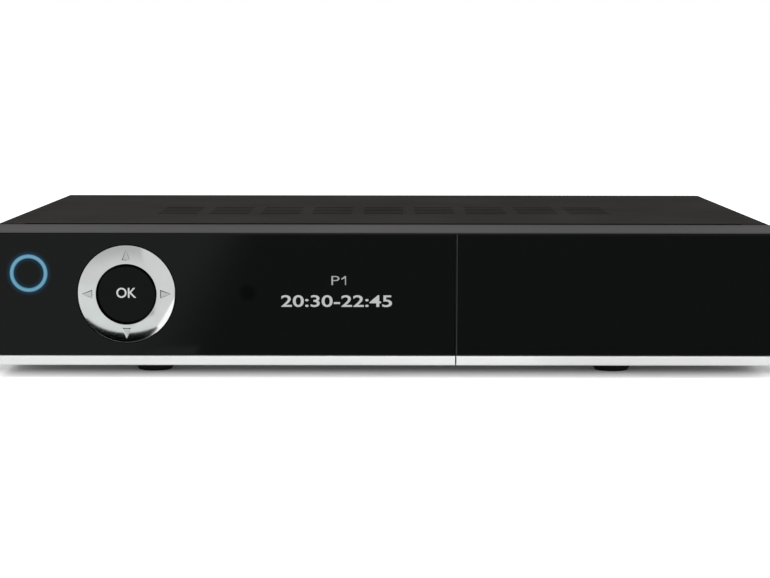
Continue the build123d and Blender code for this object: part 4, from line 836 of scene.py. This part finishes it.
def carried_round(
    middle: Pair, turn: np.ndarray, radius: np.ndarray, level: np.ndarray, axis: Axis = Axis.DEEP
) -> np.ndarray:
    """Points round a line: middle + radius * (cos turn, sin turn) across it, level along it.

    Args:
        middle: The line's X and Z, or X and Y where it is upright.
        turn: Angle of each point.
        radius: Its distance from the line.
        level: Its place along the line.
        axis: Which way the line runs.

    Returns:
        The points.
    """
    across, other = middle[0] + radius * np.cos(turn), middle[1] + radius * np.sin(turn)
    order = (across, level, other) if axis is Axis.DEEP else (across, other, level)
    return np.stack(np.broadcast_arrays(*order), axis=-1)


def bars(x: np.ndarray, y: float, z: np.ndarray | float, size: Triple) -> np.ndarray:
    """Corners of equal boxes.

    Args:
        x: Their lowest X.
        y: Their lowest Y.
        z: Their lowest Z.
        size: Their size along X, Y and Z.

    Returns:
        Low and high corner of each box, as (count, 2, 3).
    """
    low = np.stack(np.broadcast_arrays(x, y, z), axis=-1)
    return np.stack([low, low + np.array(size)], axis=1)


def boxes(corners: np.ndarray) -> Surface:
    """Boxes from their corners.

    Args:
        corners: Low and high corner of each box, as (count, 2, 3).

    Returns:
        Points and faces, eight points and six quads to a box.
    """
    pick = np.indices((2, 2, 2)).reshape(3, 8)
    points = np.stack([corners[:, pick[k], k] for k in range(3)], axis=-1)
    quads = np.array(
        [[0, 1, 3, 2], [4, 6, 7, 5], [0, 4, 5, 1], [2, 3, 7, 6], [0, 2, 6, 4], [1, 5, 7, 3]]
    )
    faces = (quads[None] + 8 * np.arange(len(corners))[:, None, None]).reshape(-1, 4)
    return points.reshape(-1, 3), faces


def add_piece(
    name: str, mesh: bpy.types.Mesh, finish: Finish, body: str, slot: str, stands_for: str = ""
) -> None:
    """Puts a mesh in the scene as a piece of the receiver.

    Args:
        name: The piece's name.
        mesh: Its mesh, in place.
        finish: Its finish.
        body: The body that it moves with.
        slot: The record's material slot; not used.
        stands_for: The CAD node that it replaces, if any.
    """
    piece = bpy.data.objects.new(name, mesh)
    bpy.context.scene.collection.objects.link(piece)
    mesh.materials.clear()
    mesh.materials.append(finish.material())
    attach(piece, body)
    if stands_for:
        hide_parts(stands_for)
    LOG.info("%s: %d faces on %s", name, len(mesh.polygons), body)


@dataclass(frozen=True)
class Characters:
    """A line of flat characters that face the front, fitted to a size.

    The centre is the line's X and Z, and the weight thickens its strokes, in font units.
    """

    name: str
    words: str
    centre: Pair
    size: Pair
    weight: float
    finish: Finish
    face_y: float = NodeBox("fascia").low[1]
    body: str = "housing"
    slot: str = "display_glass"
    skin: float = 0.02

    def mesh(self) -> bpy.types.Mesh:
        """The characters as a mesh, moved and stretched so that their box has the size."""
        curve = bpy.data.curves.new(self.name, "FONT")
        curve.body, curve.offset, curve.resolution_u = self.words, self.weight, 6
        writer = bpy.data.objects.new(self.name + "_writer", curve)
        bpy.context.scene.collection.objects.link(writer)
        bpy.context.view_layer.update()
        flat = bpy.data.meshes.new_from_object(
            writer.evaluated_get(bpy.context.evaluated_depsgraph_get())
        )
        bpy.data.objects.remove(writer)
        co = np.zeros(len(flat.vertices) * 3, np.float32)
        flat.vertices.foreach_get("co", co)
        co = co.reshape(-1, 3).astype(float)[:, :2]
        low, high = co.min(0), co.max(0)
        spread = (co - (low + high) / 2) * (np.array(self.size) / (high - low))
        placed = np.insert(spread + np.array(self.centre), 1, self.face_y - self.skin, axis=1)
        flat.vertices.foreach_set("co", (placed * MM).astype(np.float32).ravel())
        flat.name = self.name
        flat.update()
        return flat

    def build(self) -> None:
        """Makes the line and puts it on its body."""
        add_piece(self.name, self.mesh(), self.finish, self.body, self.slot)


# ------------------------------------------------------------------ the front
@dataclass
class FourWayRing:
    """Convex ring round the centre key, with a flat triangle sunk into it at each way.

    The crown stops short of its outer edge by a little across and in depth, which eases the
    edge. The grid is finer within some degrees of each triangle's middle.
    """

    box: NodeBox = NodeBox("nav_ring")
    bore: float = 10.95
    lip: float = 0.3
    edge: Pair = (0.08, 0.06)
    edge_drop: float = 1.1
    bend: float = 0.42
    back_y: float = -91.2
    skirt: Pair = (12.0, 12.9)
    pin_radius: float = 0.8
    pin_span: Pair = (12.5, 15.2)
    pin_steps: int = 24
    sunk: Pair = (0.30, 0.10)
    wall_slope: float = 1.15
    near_triangle: float = 8.5
    fine_step: float = 0.22
    coarse_step: float = 1.46

    @property
    def radius(self) -> float:
        """The ring's outer radius."""
        return self.box.high[0] - RING_CENTRE[0]

    def angles(self) -> np.ndarray:
        """Directions round the ring, in radians: close together near the four triangles."""
        near = self.near_triangle
        fine = np.arange(-near, near, self.fine_step)
        quarter = np.concatenate([fine, np.arange(near, 90 - near, self.coarse_step)])
        return np.radians(np.concatenate([quarter + 90 * turn for turn in range(4)]))

    def crown_depth(self, r: np.ndarray) -> np.ndarray:
        """Depth behind the crown at a radius: a slope that steepens towards the outside."""
        share = np.clip((r - self.bore - self.lip) / (self.radius - self.bore - self.lip), 0, 1)
        return self.edge_drop * ((1 - self.bend) * share + self.bend * share**2)

    def surface(self) -> Surface:
        """The ring's body: its profile carried round, with a triangle sunk into each quarter.

        A triangle's floor is a plane that lies deepest at its base. Its walls slope down from the
        crown, so inside the triangle the depth is the lesser of the floor's depth and the
        crown's depth plus a share of the distance to the nearest side.

        Returns:
            Points and faces.
        """
        base, tip, half_width = TRIANGLE
        _, crown_y, _ = self.box.low
        _, skirt_end_y, _ = self.box.high
        inner, outer = self.skirt
        crown_r = np.linspace(self.bore + self.lip, self.radius - self.edge[0], 96)
        back = np.array([
            (self.radius, crown_y + self.edge_drop + self.edge[1]), (self.radius, self.back_y),
            (outer, self.back_y), (outer, skirt_end_y),
            (inner, skirt_end_y), (inner, self.back_y),
            (self.bore, self.back_y), (self.bore, crown_y + self.lip),
            (self.bore + self.lip * 0.3, crown_y + self.lip * 0.3),
        ])
        turn, r = np.meshgrid(
            self.angles(), np.concatenate([crown_r, back[:, 0]]), indexing="ij"
        )
        depth = np.concatenate([crown_y + self.crown_depth(crown_r), back[:, 1]])
        nearest = np.round(turn / (np.pi / 2)) * np.pi / 2
        out, side = r * np.cos(turn - nearest), r * np.sin(turn - nearest)
        length = tip - base
        share = (out - base) / length
        slant = np.hypot(length, half_width)
        to_side = (half_width * (1 - share) - np.abs(side)) * length / slant
        inwards = np.minimum(out - base, to_side)
        ends = self.crown_depth(np.array([base, tip])) + self.sunk
        plane = crown_y + ends[0] + (ends[1] - ends[0]) * share
        inside = inwards > 0
        inside[:, len(crown_r):] = False
        depth = np.where(inside, np.minimum(plane, depth + self.wall_slope * inwards), depth)
        points = carried_round(RING_CENTRE, turn, r, depth)
        return points, grid_faces(*r.shape, True, True)

    def pins(self) -> list[Surface]:
        """The two tilt pins, closed profiles turned about the upright line through the ring."""
        x, tilt_y, mid_z = GIMBAL.middle
        turn = full_turn(self.pin_steps)[:, None]
        radius = np.array([0, 1, 1, 0]) * self.pin_radius
        parts = []
        for side in (-1, 1):
            low, high = sorted(mid_z + side * s for s in self.pin_span)
            level = np.array([low, low, high, high])
            points = carried_round((x, tilt_y), turn, radius, level, Axis.UPRIGHT)
            parts.append((points, grid_faces(self.pin_steps, len(radius), True, False)))
        return parts

    def build(self) -> None:
        """Makes the ring and puts it in place of its plain solid."""
        mesh = mesh_of("four_way_ring", [self.surface(), *self.pins()])
        add_piece("four_way_ring", mesh, Finish.RING, "nav_key", "ring_silver", "nav_ring")


@dataclass
class FrontLettering:
    """What is printed on the centre key, and the two lines that the display shows."""

    word: Characters = Characters(
        "centre_key_word", "OK", (RING_CENTRE[0], RING_CENTRE[1] + 0.5), (7.2, 3.7), 0.012,
        Finish.PRINT, NodeBox("ok_button").low[1], "ok_key", "front_gloss",
    )
    letter: Characters = Characters(
        "display_letter", "P", (-17.3, 35.7), (2.9, 3.25), -0.008, Finish.FAINT
    )
    times: Characters = Characters(
        "display_times", "20:30-22:45", (-16.9, 28.2), (40.2, 4.3), 0.012, Finish.SHOWN
    )
    figure: Pair = (-14.3, 35.7)
    figure_size: Pair = (1.65, 3.25)
    stroke: float = 0.36
    flag: Triple = (0.75, 0.9, 1.35)

    def figure_one(self) -> bpy.types.Mesh:
        """A figure 1: an upright stroke with a slanting flag, as two flat quads.

        The flag's three drops below the top are those of its inner foot, its outer top and its
        outer foot.
        """
        half = np.array(self.figure_size) / 2
        (left, bottom), (right, top) = self.figure - half, self.figure + half
        inner_foot, outer_top, outer_foot = top - np.array(self.flag)
        inner = right - self.stroke
        outline = np.array([
            (inner, bottom), (right, bottom), (right, top), (inner, top),
            (left, outer_foot), (inner, inner_foot), (inner, top), (left, outer_top),
        ])
        points = np.insert(outline, 1, self.letter.face_y - self.letter.skin, axis=1) * MM
        mesh = bpy.data.meshes.new("display_figure")
        mesh.from_pydata(points.tolist(), [], [(0, 1, 2, 3), (4, 5, 6, 7)])
        return mesh

    def build(self) -> None:
        """Makes the centre key's word and the two lines of the display."""
        self.word.build()
        self.letter.build()
        add_piece(
            "display_figure", self.figure_one(), self.letter.finish, "housing", "display_glass"
        )
        self.times.build()


# ------------------------------------------------------------------ the rear
@dataclass
class AerialSockets:
    """Two aerial sockets with cut threads."""

    box: NodeBox = NodeBox("aerial_sockets")
    nut_y: float = NodeBox("aerial_nuts").high[1]
    radius: float = 4.76
    base_radius: float = 5.2
    bore: float = 3.3
    pitch: float = 0.794
    cut: float = 0.36
    step: float = 0.02
    margins: Pair = (0.05, 0.25)
    chamfer: float = 0.3
    fading: float = 0.5
    floor: float = 1.0

    def surface(self, x: float) -> Surface:
        """One socket: a sleeve whose outside follows a helix.

        The radius falls by a rounded saw of the distance along the socket less the turn's share
        of the pitch. The cut fades out at both ends of the thread.

        Args:
            x: The socket's place across the rear.

        Returns:
            Points and faces.
        """
        start, low, high = self.box.low[1], self.nut_y, self.box.high[1]
        floor_y = start + self.floor
        thread_y = np.linspace(low + self.margins[0], high - self.margins[1], 96)
        profile_y = np.concatenate([
            [start, low, low + self.step], thread_y, [high, high, floor_y, floor_y, start]
        ])
        profile_r = np.concatenate([
            [self.base_radius, self.base_radius, self.radius],
            np.full(thread_y.shape, self.radius),
            [self.radius - self.chamfer, self.bore, self.bore, 0.0, 0.0],
        ])
        turn, y = np.meshgrid(full_turn(72), profile_y, indexing="ij")
        phase = np.mod(y / self.pitch - turn / (2 * np.pi), 1.0)
        saw = 1 - np.abs(2 * phase - 1)
        from_nut, from_tip = (
            np.clip((way - self.chamfer) / self.fading, 0, 1) for way in (y - low, high - y)
        )
        threaded = np.isin(profile_y, thread_y)
        r = profile_r - self.cut * saw * from_nut * from_tip * threaded
        points = carried_round((x, self.box.middle[2]), turn, r, y)
        return points, grid_faces(*r.shape, True, True)

    def build(self) -> None:
        """Makes both sockets in place of their smooth solids."""
        xs = (self.box.low[0] + self.base_radius, self.box.high[0] - self.base_radius)
        mesh = mesh_of("threaded_aerial_sockets", [self.surface(x) for x in xs])
        add_piece(
            "threaded_aerial_sockets", mesh, Finish.NICKEL, "housing", "nickel", "aerial_sockets"
        )


@dataclass
class RockerMarks:
    """I and O printed on the two faces of the mains rocker."""

    pivot: Triple = (NodeBox("mains_rocker").middle[0], 83.4, 24.0)
    tilt: float = 10.0
    crest: float = 4.4
    fall: float = 1.2 / 7.2
    place: float = 3.9
    bar: Pair = (0.5, 3.4)
    loop: Pair = (1.2, 1.65)
    skin: float = 0.03

    def on_face(self, across: np.ndarray, up: np.ndarray) -> np.ndarray:
        """Points on the rocker's face.

        A face stands off the pivot by the crest plus a share of the distance from the middle, and
        both faces are turned by the rocker's tilt.

        Args:
            across: Distance from the rocker's middle along X.
            up: Distance from the crest along the face, up or down.

        Returns:
            The points.
        """
        out = self.crest + self.fall * np.abs(up) + self.skin
        c, s = math.cos(math.radians(self.tilt)), math.sin(math.radians(self.tilt))
        return np.stack([
            self.pivot[0] + across, self.pivot[1] + out * c - up * s,
            self.pivot[2] + out * s + up * c,
        ], axis=-1)

    def build(self) -> None:
        """Makes both marks as one flat print."""
        u, v = np.meshgrid(
            np.array([-0.5, 0.5]) * self.bar[0],
            self.place + np.linspace(-0.5, 0.5, 9) * self.bar[1], indexing="ij",
        )
        turn, r = np.meshgrid(full_turn(64), np.array(self.loop), indexing="ij")
        ring = self.on_face(r * np.cos(turn), r * np.sin(turn) - self.place)
        mesh = mesh_of("rocker_marks", [
            (self.on_face(u, v), grid_faces(*u.shape, False, False)),
            (ring, grid_faces(*r.shape, True, False)),
        ])
        add_piece("rocker_marks", mesh, Finish.MARK, "rocker", "socket_black")


@dataclass
class CaseScrews:
    """Pan-head screws with a cross recess, in the rear lip and in the pan."""

    rear: tuple[Pair, ...] = ((-124.0, 51.6), (0.0, 51.6), (124.0, 51.6))
    rear_y: Pair = (80.0, NodeBox("top_cover").high[1])
    under: tuple[Pair, ...] = ((-100.0, -84.2), (0.0, -84.2), (100.0, -84.2))
    under_z: Pair = (9.4, 5.0)
    head_radius: float = 2.8
    rear_head: float = 1.7
    under_head: float = 1.2
    shank: float = 1.45
    dome: float = 0.45
    recess: Pair = (0.42, 1.7)
    recess_slope: Pair = (0.12, 0.4)
    recess_depth: float = 0.6
    steps: int = 96

    def surface(self, mid: Pair, tip: float, seat: float, head: float, axis: Axis) -> Surface:
        """One screw: a turned shank and a domed head with a cross pressed into it.

        The head's height falls as the fourth power of the radius. The cross is the union of two
        bands, and its depth fades towards the ends of its arms.

        Args:
            mid: The screw's axis, as its two coordinates across that axis.
            tip: Place of the point along the axis.
            seat: Place of the underside of the head.
            head: Height of the head.
            axis: Which way the screw's axis runs.

        Returns:
            Points and faces.
        """
        out = 1.0 if seat > tip else -1.0
        turn, share = np.meshgrid(full_turn(self.steps), np.linspace(1.0, 0.0, 26), indexing="ij")
        r = share * self.head_radius
        cross = np.minimum(np.abs(r * np.cos(turn)), np.abs(r * np.sin(turn)))
        pressed = np.prod([
            np.clip((limit - place) / slope, 0, 1)
            for limit, place, slope in zip(self.recess, (cross, r), self.recess_slope)
        ], axis=0)
        height = head * (1 - self.dome * share**4 - self.recess_depth * pressed)
        below_r = np.array([0.0, self.shank, self.shank, self.head_radius])
        below = np.array([tip, tip, seat, seat])
        radius, level = (
            np.concatenate([np.broadcast_to(low, (self.steps, len(low))), high], axis=1)
            for low, high in ((below_r, r), (below, seat + out * height))
        )
        points = carried_round(mid, turn[:, :1], radius, level, axis)
        return points, grid_faces(*radius.shape, True, False)

    def build(self) -> None:
        """Makes all the case's screws in place of their plain solids."""
        rear = [self.surface(mid, *self.rear_y, self.rear_head, Axis.DEEP) for mid in self.rear]
        under = [
            self.surface(mid, *self.under_z, self.under_head, Axis.UPRIGHT) for mid in self.under
        ]
        mesh = mesh_of("cross_head_screws", rear + under)
        add_piece(
            "cross_head_screws", mesh, Finish.SCREW, "housing", "screw_black", "case_screws"
        )


@dataclass
class Contacts:
    """Spring contacts in the flat sockets, and the pins in the module cage.

    Each kind of contact has its height above the foot of its socket, how many there are and how
    far apart, its size, and how far it lies behind the mouth.
    """

    lan: NodeBox = NodeBox("lan_socket")
    lan_up: float = 1.9
    lan_count: int = 8
    lan_pitch: float = 1.02
    lan_spring: Triple = (0.4, 8.0, 0.3)
    lan_set_back: float = 2.5
    rise: float = 0.34
    video: NodeBox = NodeBox("hdmi_socket")
    video_up: float = 2.7
    video_count: int = 10
    video_pitch: float = 1.0
    video_tongue: float = 1.5
    video_contact: Triple = (0.4, 7.0, 0.05)
    video_set_back: float = 2.0
    buses: NodeBox = NodeBox("usb_sockets")
    bus_half: float = 6.8
    bus_up: float = 3.6
    bus_xs: tuple[float, ...] = (-3.5, -1.0, 1.0, 3.5)
    bus_contact: Triple = (1.0, 7.6, 0.06)
    bus_set_back: float = 1.4
    module: NodeBox = NodeBox("ci_cage")
    module_x: float = 63.0
    module_end: float = 8.0
    module_count: int = 34
    module_pitch: float = 1.27
    module_rows: float = 1.28
    module_pin: Triple = (0.4, 6.0, 0.4)

    def row(self, middle: float, count: int, pitch: float, width: float) -> np.ndarray:
        """Low edges of equal contacts, evenly spaced about a middle."""
        return middle + (np.arange(count) - (count - 1) / 2) * pitch - width / 2

    def network(self) -> Surface:
        """Springs that slope up and back from the floor of the network socket's mouth."""
        width, length, _ = self.lan_spring
        xs = self.row(self.lan.middle[0], self.lan_count, self.lan_pitch, width)
        mouth_y, low = self.lan.high[1] - self.lan_set_back, self.lan.low[2] + self.lan_up
        points, faces = boxes(bars(xs, mouth_y - length, low, self.lan_spring))
        points[:, 2] += self.rise * (mouth_y - points[:, 1])
        return points, faces

    def picture(self) -> np.ndarray:
        """Flat contacts on both sides of the tongue of the picture socket."""
        width, length, thick = self.video_contact
        xs = self.row(self.video.middle[0], self.video_count, self.video_pitch, width)
        y = self.video.high[1] - self.video_set_back - length
        low = self.video.low[2] + self.video_up
        return np.concatenate([
            bars(xs, y, z, self.video_contact) for z in (low - thick, low + self.video_tongue)
        ])

    def serial(self) -> np.ndarray:
        """Four flat contacts under the tongue of each serial-bus socket.

        The front socket is at the node's right end and mouth forward, the rear one at its left
        end and mouth to the rear.
        """
        width, length, thick = self.bus_contact
        (left, front, foot), (right, rear, _) = self.buses.low, self.buses.high
        places = (
            (right - self.bus_half, front + self.bus_set_back),
            (left + self.bus_half, rear - self.bus_set_back - length),
        )
        return np.concatenate([
            bars(
                x + np.array(self.bus_xs) - width / 2, y, foot + self.bus_up - thick,
                self.bus_contact,
            ) for x, y in places
        ])

    def pins(self) -> np.ndarray:
        """Two rows of pins on the closed end of the module cage."""
        width, length, height = self.module_pin
        xs, zs = [part.ravel() for part in np.meshgrid(
            self.row(self.module_x, self.module_count, self.module_pitch, width),
            self.row(self.module.middle[2], 2, self.module_rows, height),
        )]
        return bars(xs, self.module.high[1] - self.module_end - length, zs, self.module_pin)

    def build(self) -> None:
        """Makes the contacts as one gilt piece."""
        corners = np.concatenate([self.picture(), self.serial(), self.pins()])
        mesh = mesh_of("socket_contacts", [boxes(corners), self.network()])
        add_piece("socket_contacts", mesh, Finish.GOLD, "housing", "pin_brass")


# ------------------------------------------------------------------ studio
def level_sheet(half: float, near: float, far: float, z: float) -> list[Triple]:
    """Corners of a level sheet that faces up, in metres.

    Args:
        half: Half its width along X.
        near: Its lowest Y.
        far: Its highest Y.
        z: Its height.

    Returns:
        Four corners, anticlockwise from the side that it faces.
    """
    return [(-half, near, z), (half, near, z), (half, far, z), (-half, far, z)]


def upright_sheet(start: Pair, end: Pair, height: float) -> list[Triple]:
    """Corners of an upright sheet on the ground, in metres.

    Args:
        start: X and Y of its left edge, as seen from the side that it faces.
        end: X and Y of its right edge.
        height: Its height.

    Returns:
        Four corners, anticlockwise from that side.
    """
    return [(*start, 0), (*end, 0), (*end, height), (*start, height)]


@dataclass(frozen=True)
class Softbox:
    """A soft square lamp: its place, its side and what it looks at in metres, its power in watts."""

    name: str
    place: Triple
    side: float
    power: float
    aim: Triple = (0.0, 0.0, 0.03)

    def hang(self) -> None:
        """Adds the lamp, which mirrors don't show."""
        lamp = bpy.data.lights.new(self.name, "AREA")
        lamp.size, lamp.energy = self.side, self.power
        holder = bpy.data.objects.new(self.name, lamp)
        bpy.context.scene.collection.objects.link(holder)
        holder.visible_glossy = False
        towards = Vector(self.aim) - Vector(self.place)
        holder.matrix_world = (
            Matrix.Translation(self.place) @ towards.to_track_quat("-Z", "Y").to_matrix().to_4x4()
        )


@dataclass
class Studio:
    """Pale floor, soft light, camera, and what the polished front mirrors.

    The camera, the sheets and the lamps stand in metres. What their materials measure is in
    millimetres: from the shade to the card's slope, and the heights at which a card fades.
    """

    camera: Triple = (0.00118, -0.86499, 0.11216)
    tilt: float = 5.8878
    yaw: float = -0.039
    roll: float = 0.0657
    lens: float = 100.058
    sky: float = 0.86
    floor_tones: Pair = (0.70, 0.73)
    floor_glow: float = 0.66
    shade_x: Pair = (141.0, 158.0)
    shade_y: Pair = (67.0, 98.6)
    shade_rest: float = 0.05
    face_y: float = -94.0
    dark_x: float = -98.0
    dark_ahead: Pair = (34.4, 52.0)
    dark_bend: float = 0.011
    pale: Colour = (0.95, 1.0, 0.98)
    pale_ahead: Pair = (50.0, 62.0)
    pale_x: Pair = (-104.0, -62.0)
    pale_least: float = 0.28
    tongue_x: Pair = (-106.0, -92.0)
    tongue_ahead: Pair = (75.0, 110.0)
    gleam: float = 1.4
    gleam_from: Pair = (-80.0, 26.3)
    gleam_way: Pair = (0.47, 0.89)
    gleam_ahead: Pair = (12.0, 20.0)
    card_x: float = -74.5
    card_tones: Pair = (0.93, 1.5)
    card_from: Pair = (26.5, 11.2)
    card_slope: float = 0.75
    floor_half: float = 6.0
    floor_z: float = -0.0001
    apron_half: float = 0.9
    apron_y: Pair = (-1.6, -0.0955)
    apron_z: float = 0.0002
    side_y: Pair = (-0.0965, -0.5)
    side_height: float = 0.16
    far_half: float = 1.5
    far_y: float = -1.4
    far_height: float = 1.6
    far_fade: tuple[Pair, Pair] = ((120.0, 560.0), (0.90, 0.62))
    flag_x: float = 0.7
    flag_y: Pair = (0.2, 0.9)
    flag_height: float = 0.9
    flag_fade: tuple[Pair, Pair] = ((150.0, 900.0), (0.30, 0.05))
    lamps: tuple[Softbox, ...] = (
        Softbox("softbox_above", (-0.3, -0.25, 1.3), 1.1, 6.2),
        Softbox("softbox_front", (-0.7, -1.3, 0.7), 0.8, 3.0),
    )

    def pose(self) -> Matrix:
        """The camera's place: it looks towards +Y, turned by yaw, tilted down and rolled."""
        tilt, yaw, roll = (math.radians(a) for a in (self.tilt, self.yaw, self.roll))
        ahead = Vector((
            math.sin(yaw) * math.cos(tilt), math.cos(yaw) * math.cos(tilt), -math.sin(tilt)
        ))
        level = Vector((math.cos(yaw), -math.sin(yaw), 0.0))
        up = level.cross(ahead)
        right = math.cos(roll) * level + math.sin(roll) * up
        top = math.cos(roll) * up - math.sin(roll) * level
        turned_axes = Matrix((right, top, -ahead)).transposed().to_4x4()
        return Matrix.Translation(self.camera) @ turned_axes

    def place_camera(self) -> None:
        """Makes the camera that the picture is taken with."""
        lens = bpy.data.cameras.new("camera")
        lens.lens, lens.sensor_width = self.lens, 36.0
        lens.clip_start, lens.clip_end = 0.01, 30.0
        camera = bpy.data.objects.new("camera", lens)
        bpy.context.scene.collection.objects.link(camera)
        camera.matrix_world = self.pose()
        bpy.context.scene.camera = camera

    def stand(
        self, name: str, corners: list[Triple], material: bpy.types.Material, mirrored_only: bool
    ) -> None:
        """Adds a flat sheet to the studio.

        Args:
            name: The sheet's name.
            corners: Its corners in metres, anticlockwise as seen from the side that it faces.
            material: Its material.
            mirrored_only: Whether only mirrored rays meet it.
        """
        mesh = bpy.data.meshes.new(name)
        mesh.from_pydata(corners, [], [(0, 1, 2, 3)])
        mesh.materials.append(material)
        sheet = bpy.data.objects.new(name, mesh)
        bpy.context.scene.collection.objects.link(sheet)
        if mirrored_only:
            sheet.visible_camera = sheet.visible_diffuse = sheet.visible_shadow = False
            sheet.visible_transmission = sheet.visible_volume_scatter = False

    def glow(self, recipe: Recipe, colour: Field) -> Field:
        """A shader that shines with the given colour."""
        return recipe.node("ShaderNodeEmission", inputs={"Color": colour, "Strength": 1.0})

    def one_sided(self, recipe: Recipe, shader: Field) -> bpy.types.Material:
        """A shader on the side that the sheet faces, and clear from behind.

        Args:
            recipe: The material being built.
            shader: What the sheet shows on its facing side.

        Returns:
            The finished material.
        """
        behind = recipe.node("ShaderNodeNewGeometry", output="Backfacing")
        clear = recipe.node("ShaderNodeBsdfTransparent")
        return recipe.close(
            recipe.node("ShaderNodeMixShader", inputs={0: behind, 1: shader, 2: clear})
        )

    def floor_material(self) -> bpy.types.Material:
        """White to the eye and to mirrors, and an even diffuse white to other light.

        The white fades out under the receiver, which deepens the shade there.
        """
        recipe = Recipe("studio_floor")
        shown = recipe.rays("Is Camera Ray", "Is Glossy Ray", "Is Transmission Ray")
        low, high = (grey(tone) for tone in self.floor_tones)
        mottle = recipe.mix(recipe.noise(120.0, 2), low, high)
        diffuse = recipe.node("ShaderNodeBsdfDiffuse", inputs={"Color": mottle})
        x, y, _ = recipe.axes()
        beside = abs(x).rise(*self.shade_x)
        before = abs(y).rise(*self.shade_y) * (1 - self.shade_rest) + self.shade_rest
        white = recipe.mix(shown * (beside | before), grey(0.0), grey(self.floor_glow))
        both = {0: diffuse, 1: self.glow(recipe, white)}
        return self.one_sided(recipe, recipe.node("ShaderNodeAddShader", inputs=both))

    def apron_material(self) -> bpy.types.Material:
        """What lies before the front, as mirrors see it.

        Black up to an edge that leads away from the front on both sides of the ring, as a
        parabola, and pale past it. Farther off the pale is weaker, and more so at the right, but
        a tongue of it reaches farther ahead of the ring. A gleam lies at the right, between the
        side card and a line that leads away from the front.
        """
        recipe = Recipe("apron_card")
        x, y, _ = recipe.axes()
        ahead, along = self.face_y - y, x - self.dark_x
        nearest, farthest = self.dark_ahead
        edge = (along * along * self.dark_bend + nearest) & farthest
        left = 1 - (x + ahead * 0.03).rise(*self.pale_x)
        close = 1 - ahead.rise(*self.pale_ahead)
        beside = 1 - x.rise(self.card_x, self.card_x + 0.5)
        tongue = x.rise(*self.tongue_x) & beside & (1 - ahead.rise(*self.tongue_ahead))
        level = (left * (1 - self.pale_least) + self.pale_least) | (close | tongue)
        tone = recipe.mix(level * (ahead - edge).rise(-0.6, 0.6), grey(0.0), self.pale)
        start_x, start = self.gleam_from
        across, onward = self.gleam_way
        beyond = ((x - start_x) * onward - (ahead - start) * across).rise(-0.8, 0.8)
        bright = beyond * close * beside * ahead.rise(*self.gleam_ahead)
        return recipe.close(self.glow(recipe, recipe.mix(bright, tone, grey(self.gleam))))

    def side_material(self) -> bpy.types.Material:
        """The card at the right of the ring: brighter below a line that falls ahead."""
        recipe = Recipe("side_glow")
        _, y, z = recipe.axes()
        ahead, height = self.card_from
        line = height + (ahead - (self.face_y - y)) * self.card_slope
        low, high = (grey(tone) for tone in self.card_tones)
        tone = recipe.mix((line - z).rise(-1.0, 1.0), low, high)
        return self.one_sided(recipe, self.glow(recipe, tone))

    def graded_material(self, name: str, heights: Pair, tones: Pair) -> bpy.types.Material:
        """A one-sided card whose glow changes evenly with the height.

        Args:
            name: The material's name.
            heights: Where the change starts and ends, in millimetres.
            tones: How bright it is below and above.

        Returns:
            The finished material.
        """
        recipe = Recipe(name)
        _, _, z = recipe.axes()
        low, high = (grey(tone) for tone in tones)
        return self.one_sided(recipe, self.glow(recipe, recipe.mix(z.rise(*heights), low, high)))

    def hang_sky(self) -> None:
        """The world: white to the eye and to mirrors, and a little less to other light."""
        world = bpy.data.worlds.new("studio_sky")
        bpy.context.scene.world = world
        recipe = Recipe("studio_sky", world)
        shown = recipe.rays("Is Camera Ray", "Is Glossy Ray")
        tone = recipe.mix(shown, grey(self.sky), grey(1.0))
        recipe.close(recipe.node("ShaderNodeBackground", inputs={"Color": tone, "Strength": 1.0}))

    def build(self) -> None:
        """Sets up the camera, the floor, the mirrored cards, the lamps and the sky.

        The two cards behind the receiver are dark, because bright metal needs something dark to
        mirror. The one behind the camera is a little darker towards its top.
        """
        self.place_camera()
        floor = level_sheet(self.floor_half, -self.floor_half, self.floor_half, self.floor_z)
        self.stand("floor", floor, self.floor_material(), False)
        side_x, (side_start, side_end) = self.card_x * MM, self.side_y
        right, (near, far) = self.flag_x, self.flag_y
        behind = self.graded_material("rear_flag", *self.flag_fade)
        cards = {
            "apron": (
                level_sheet(self.apron_half, *self.apron_y, self.apron_z), self.apron_material()
            ),
            "side_card": (
                upright_sheet((side_x, side_start), (side_x, side_end), self.side_height),
                self.side_material(),
            ),
            "far_card": (
                upright_sheet(
                    (self.far_half, self.far_y), (-self.far_half, self.far_y), self.far_height
                ),
                self.graded_material("far_glow", *self.far_fade),
            ),
            "rear_flag_left": (
                upright_sheet((-right, near), (-right, far), self.flag_height), behind
            ),
            "rear_flag_right": (
                upright_sheet((right, far), (right, near), self.flag_height), behind
            ),
        }
        for name, (corners, material) in cards.items():
            self.stand(name, corners, material, True)
        for lamp in self.lamps:
            lamp.hang()
        self.hang_sky()
        bpy.context.scene.view_settings.view_transform = "Standard"
        LOG.info("studio: lens %.1f mm", self.lens)


def dress_solids() -> None:
    """Gives every CAD node that no piece replaces its finish."""
    for finish, nodes in NODES_BY_FINISH.items():
        for node in nodes:
            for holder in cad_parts[node].material_slots:
                holder.material = finish.material()
            LOG.info("%s: %s", node, finish.name)


@dataclass
class Receiver:
    """The whole receiver: the finishes of its solids, and the pieces that they lack."""

    ring: FourWayRing = field(default_factory=FourWayRing)
    words: FrontLettering = field(default_factory=FrontLettering)
    aerials: AerialSockets = field(default_factory=AerialSockets)
    rocker: RockerMarks = field(default_factory=RockerMarks)
    screws: CaseScrews = field(default_factory=CaseScrews)
    contacts: Contacts = field(default_factory=Contacts)

    def build(self) -> None:
        """Dresses the solids, then builds each sub-assembly."""
        dress_solids()
        for part in (
            self.ring, self.words, self.aerials, self.rocker, self.screws, self.contacts
        ):
            part.build()


def main() -> None:
    """Builds the studio and the receiver."""
    logging.basicConfig(level=logging.INFO, format="%(name)s %(message)s")
    Studio().build()
    Receiver().build()


if __name__ == "__main__":
    main()
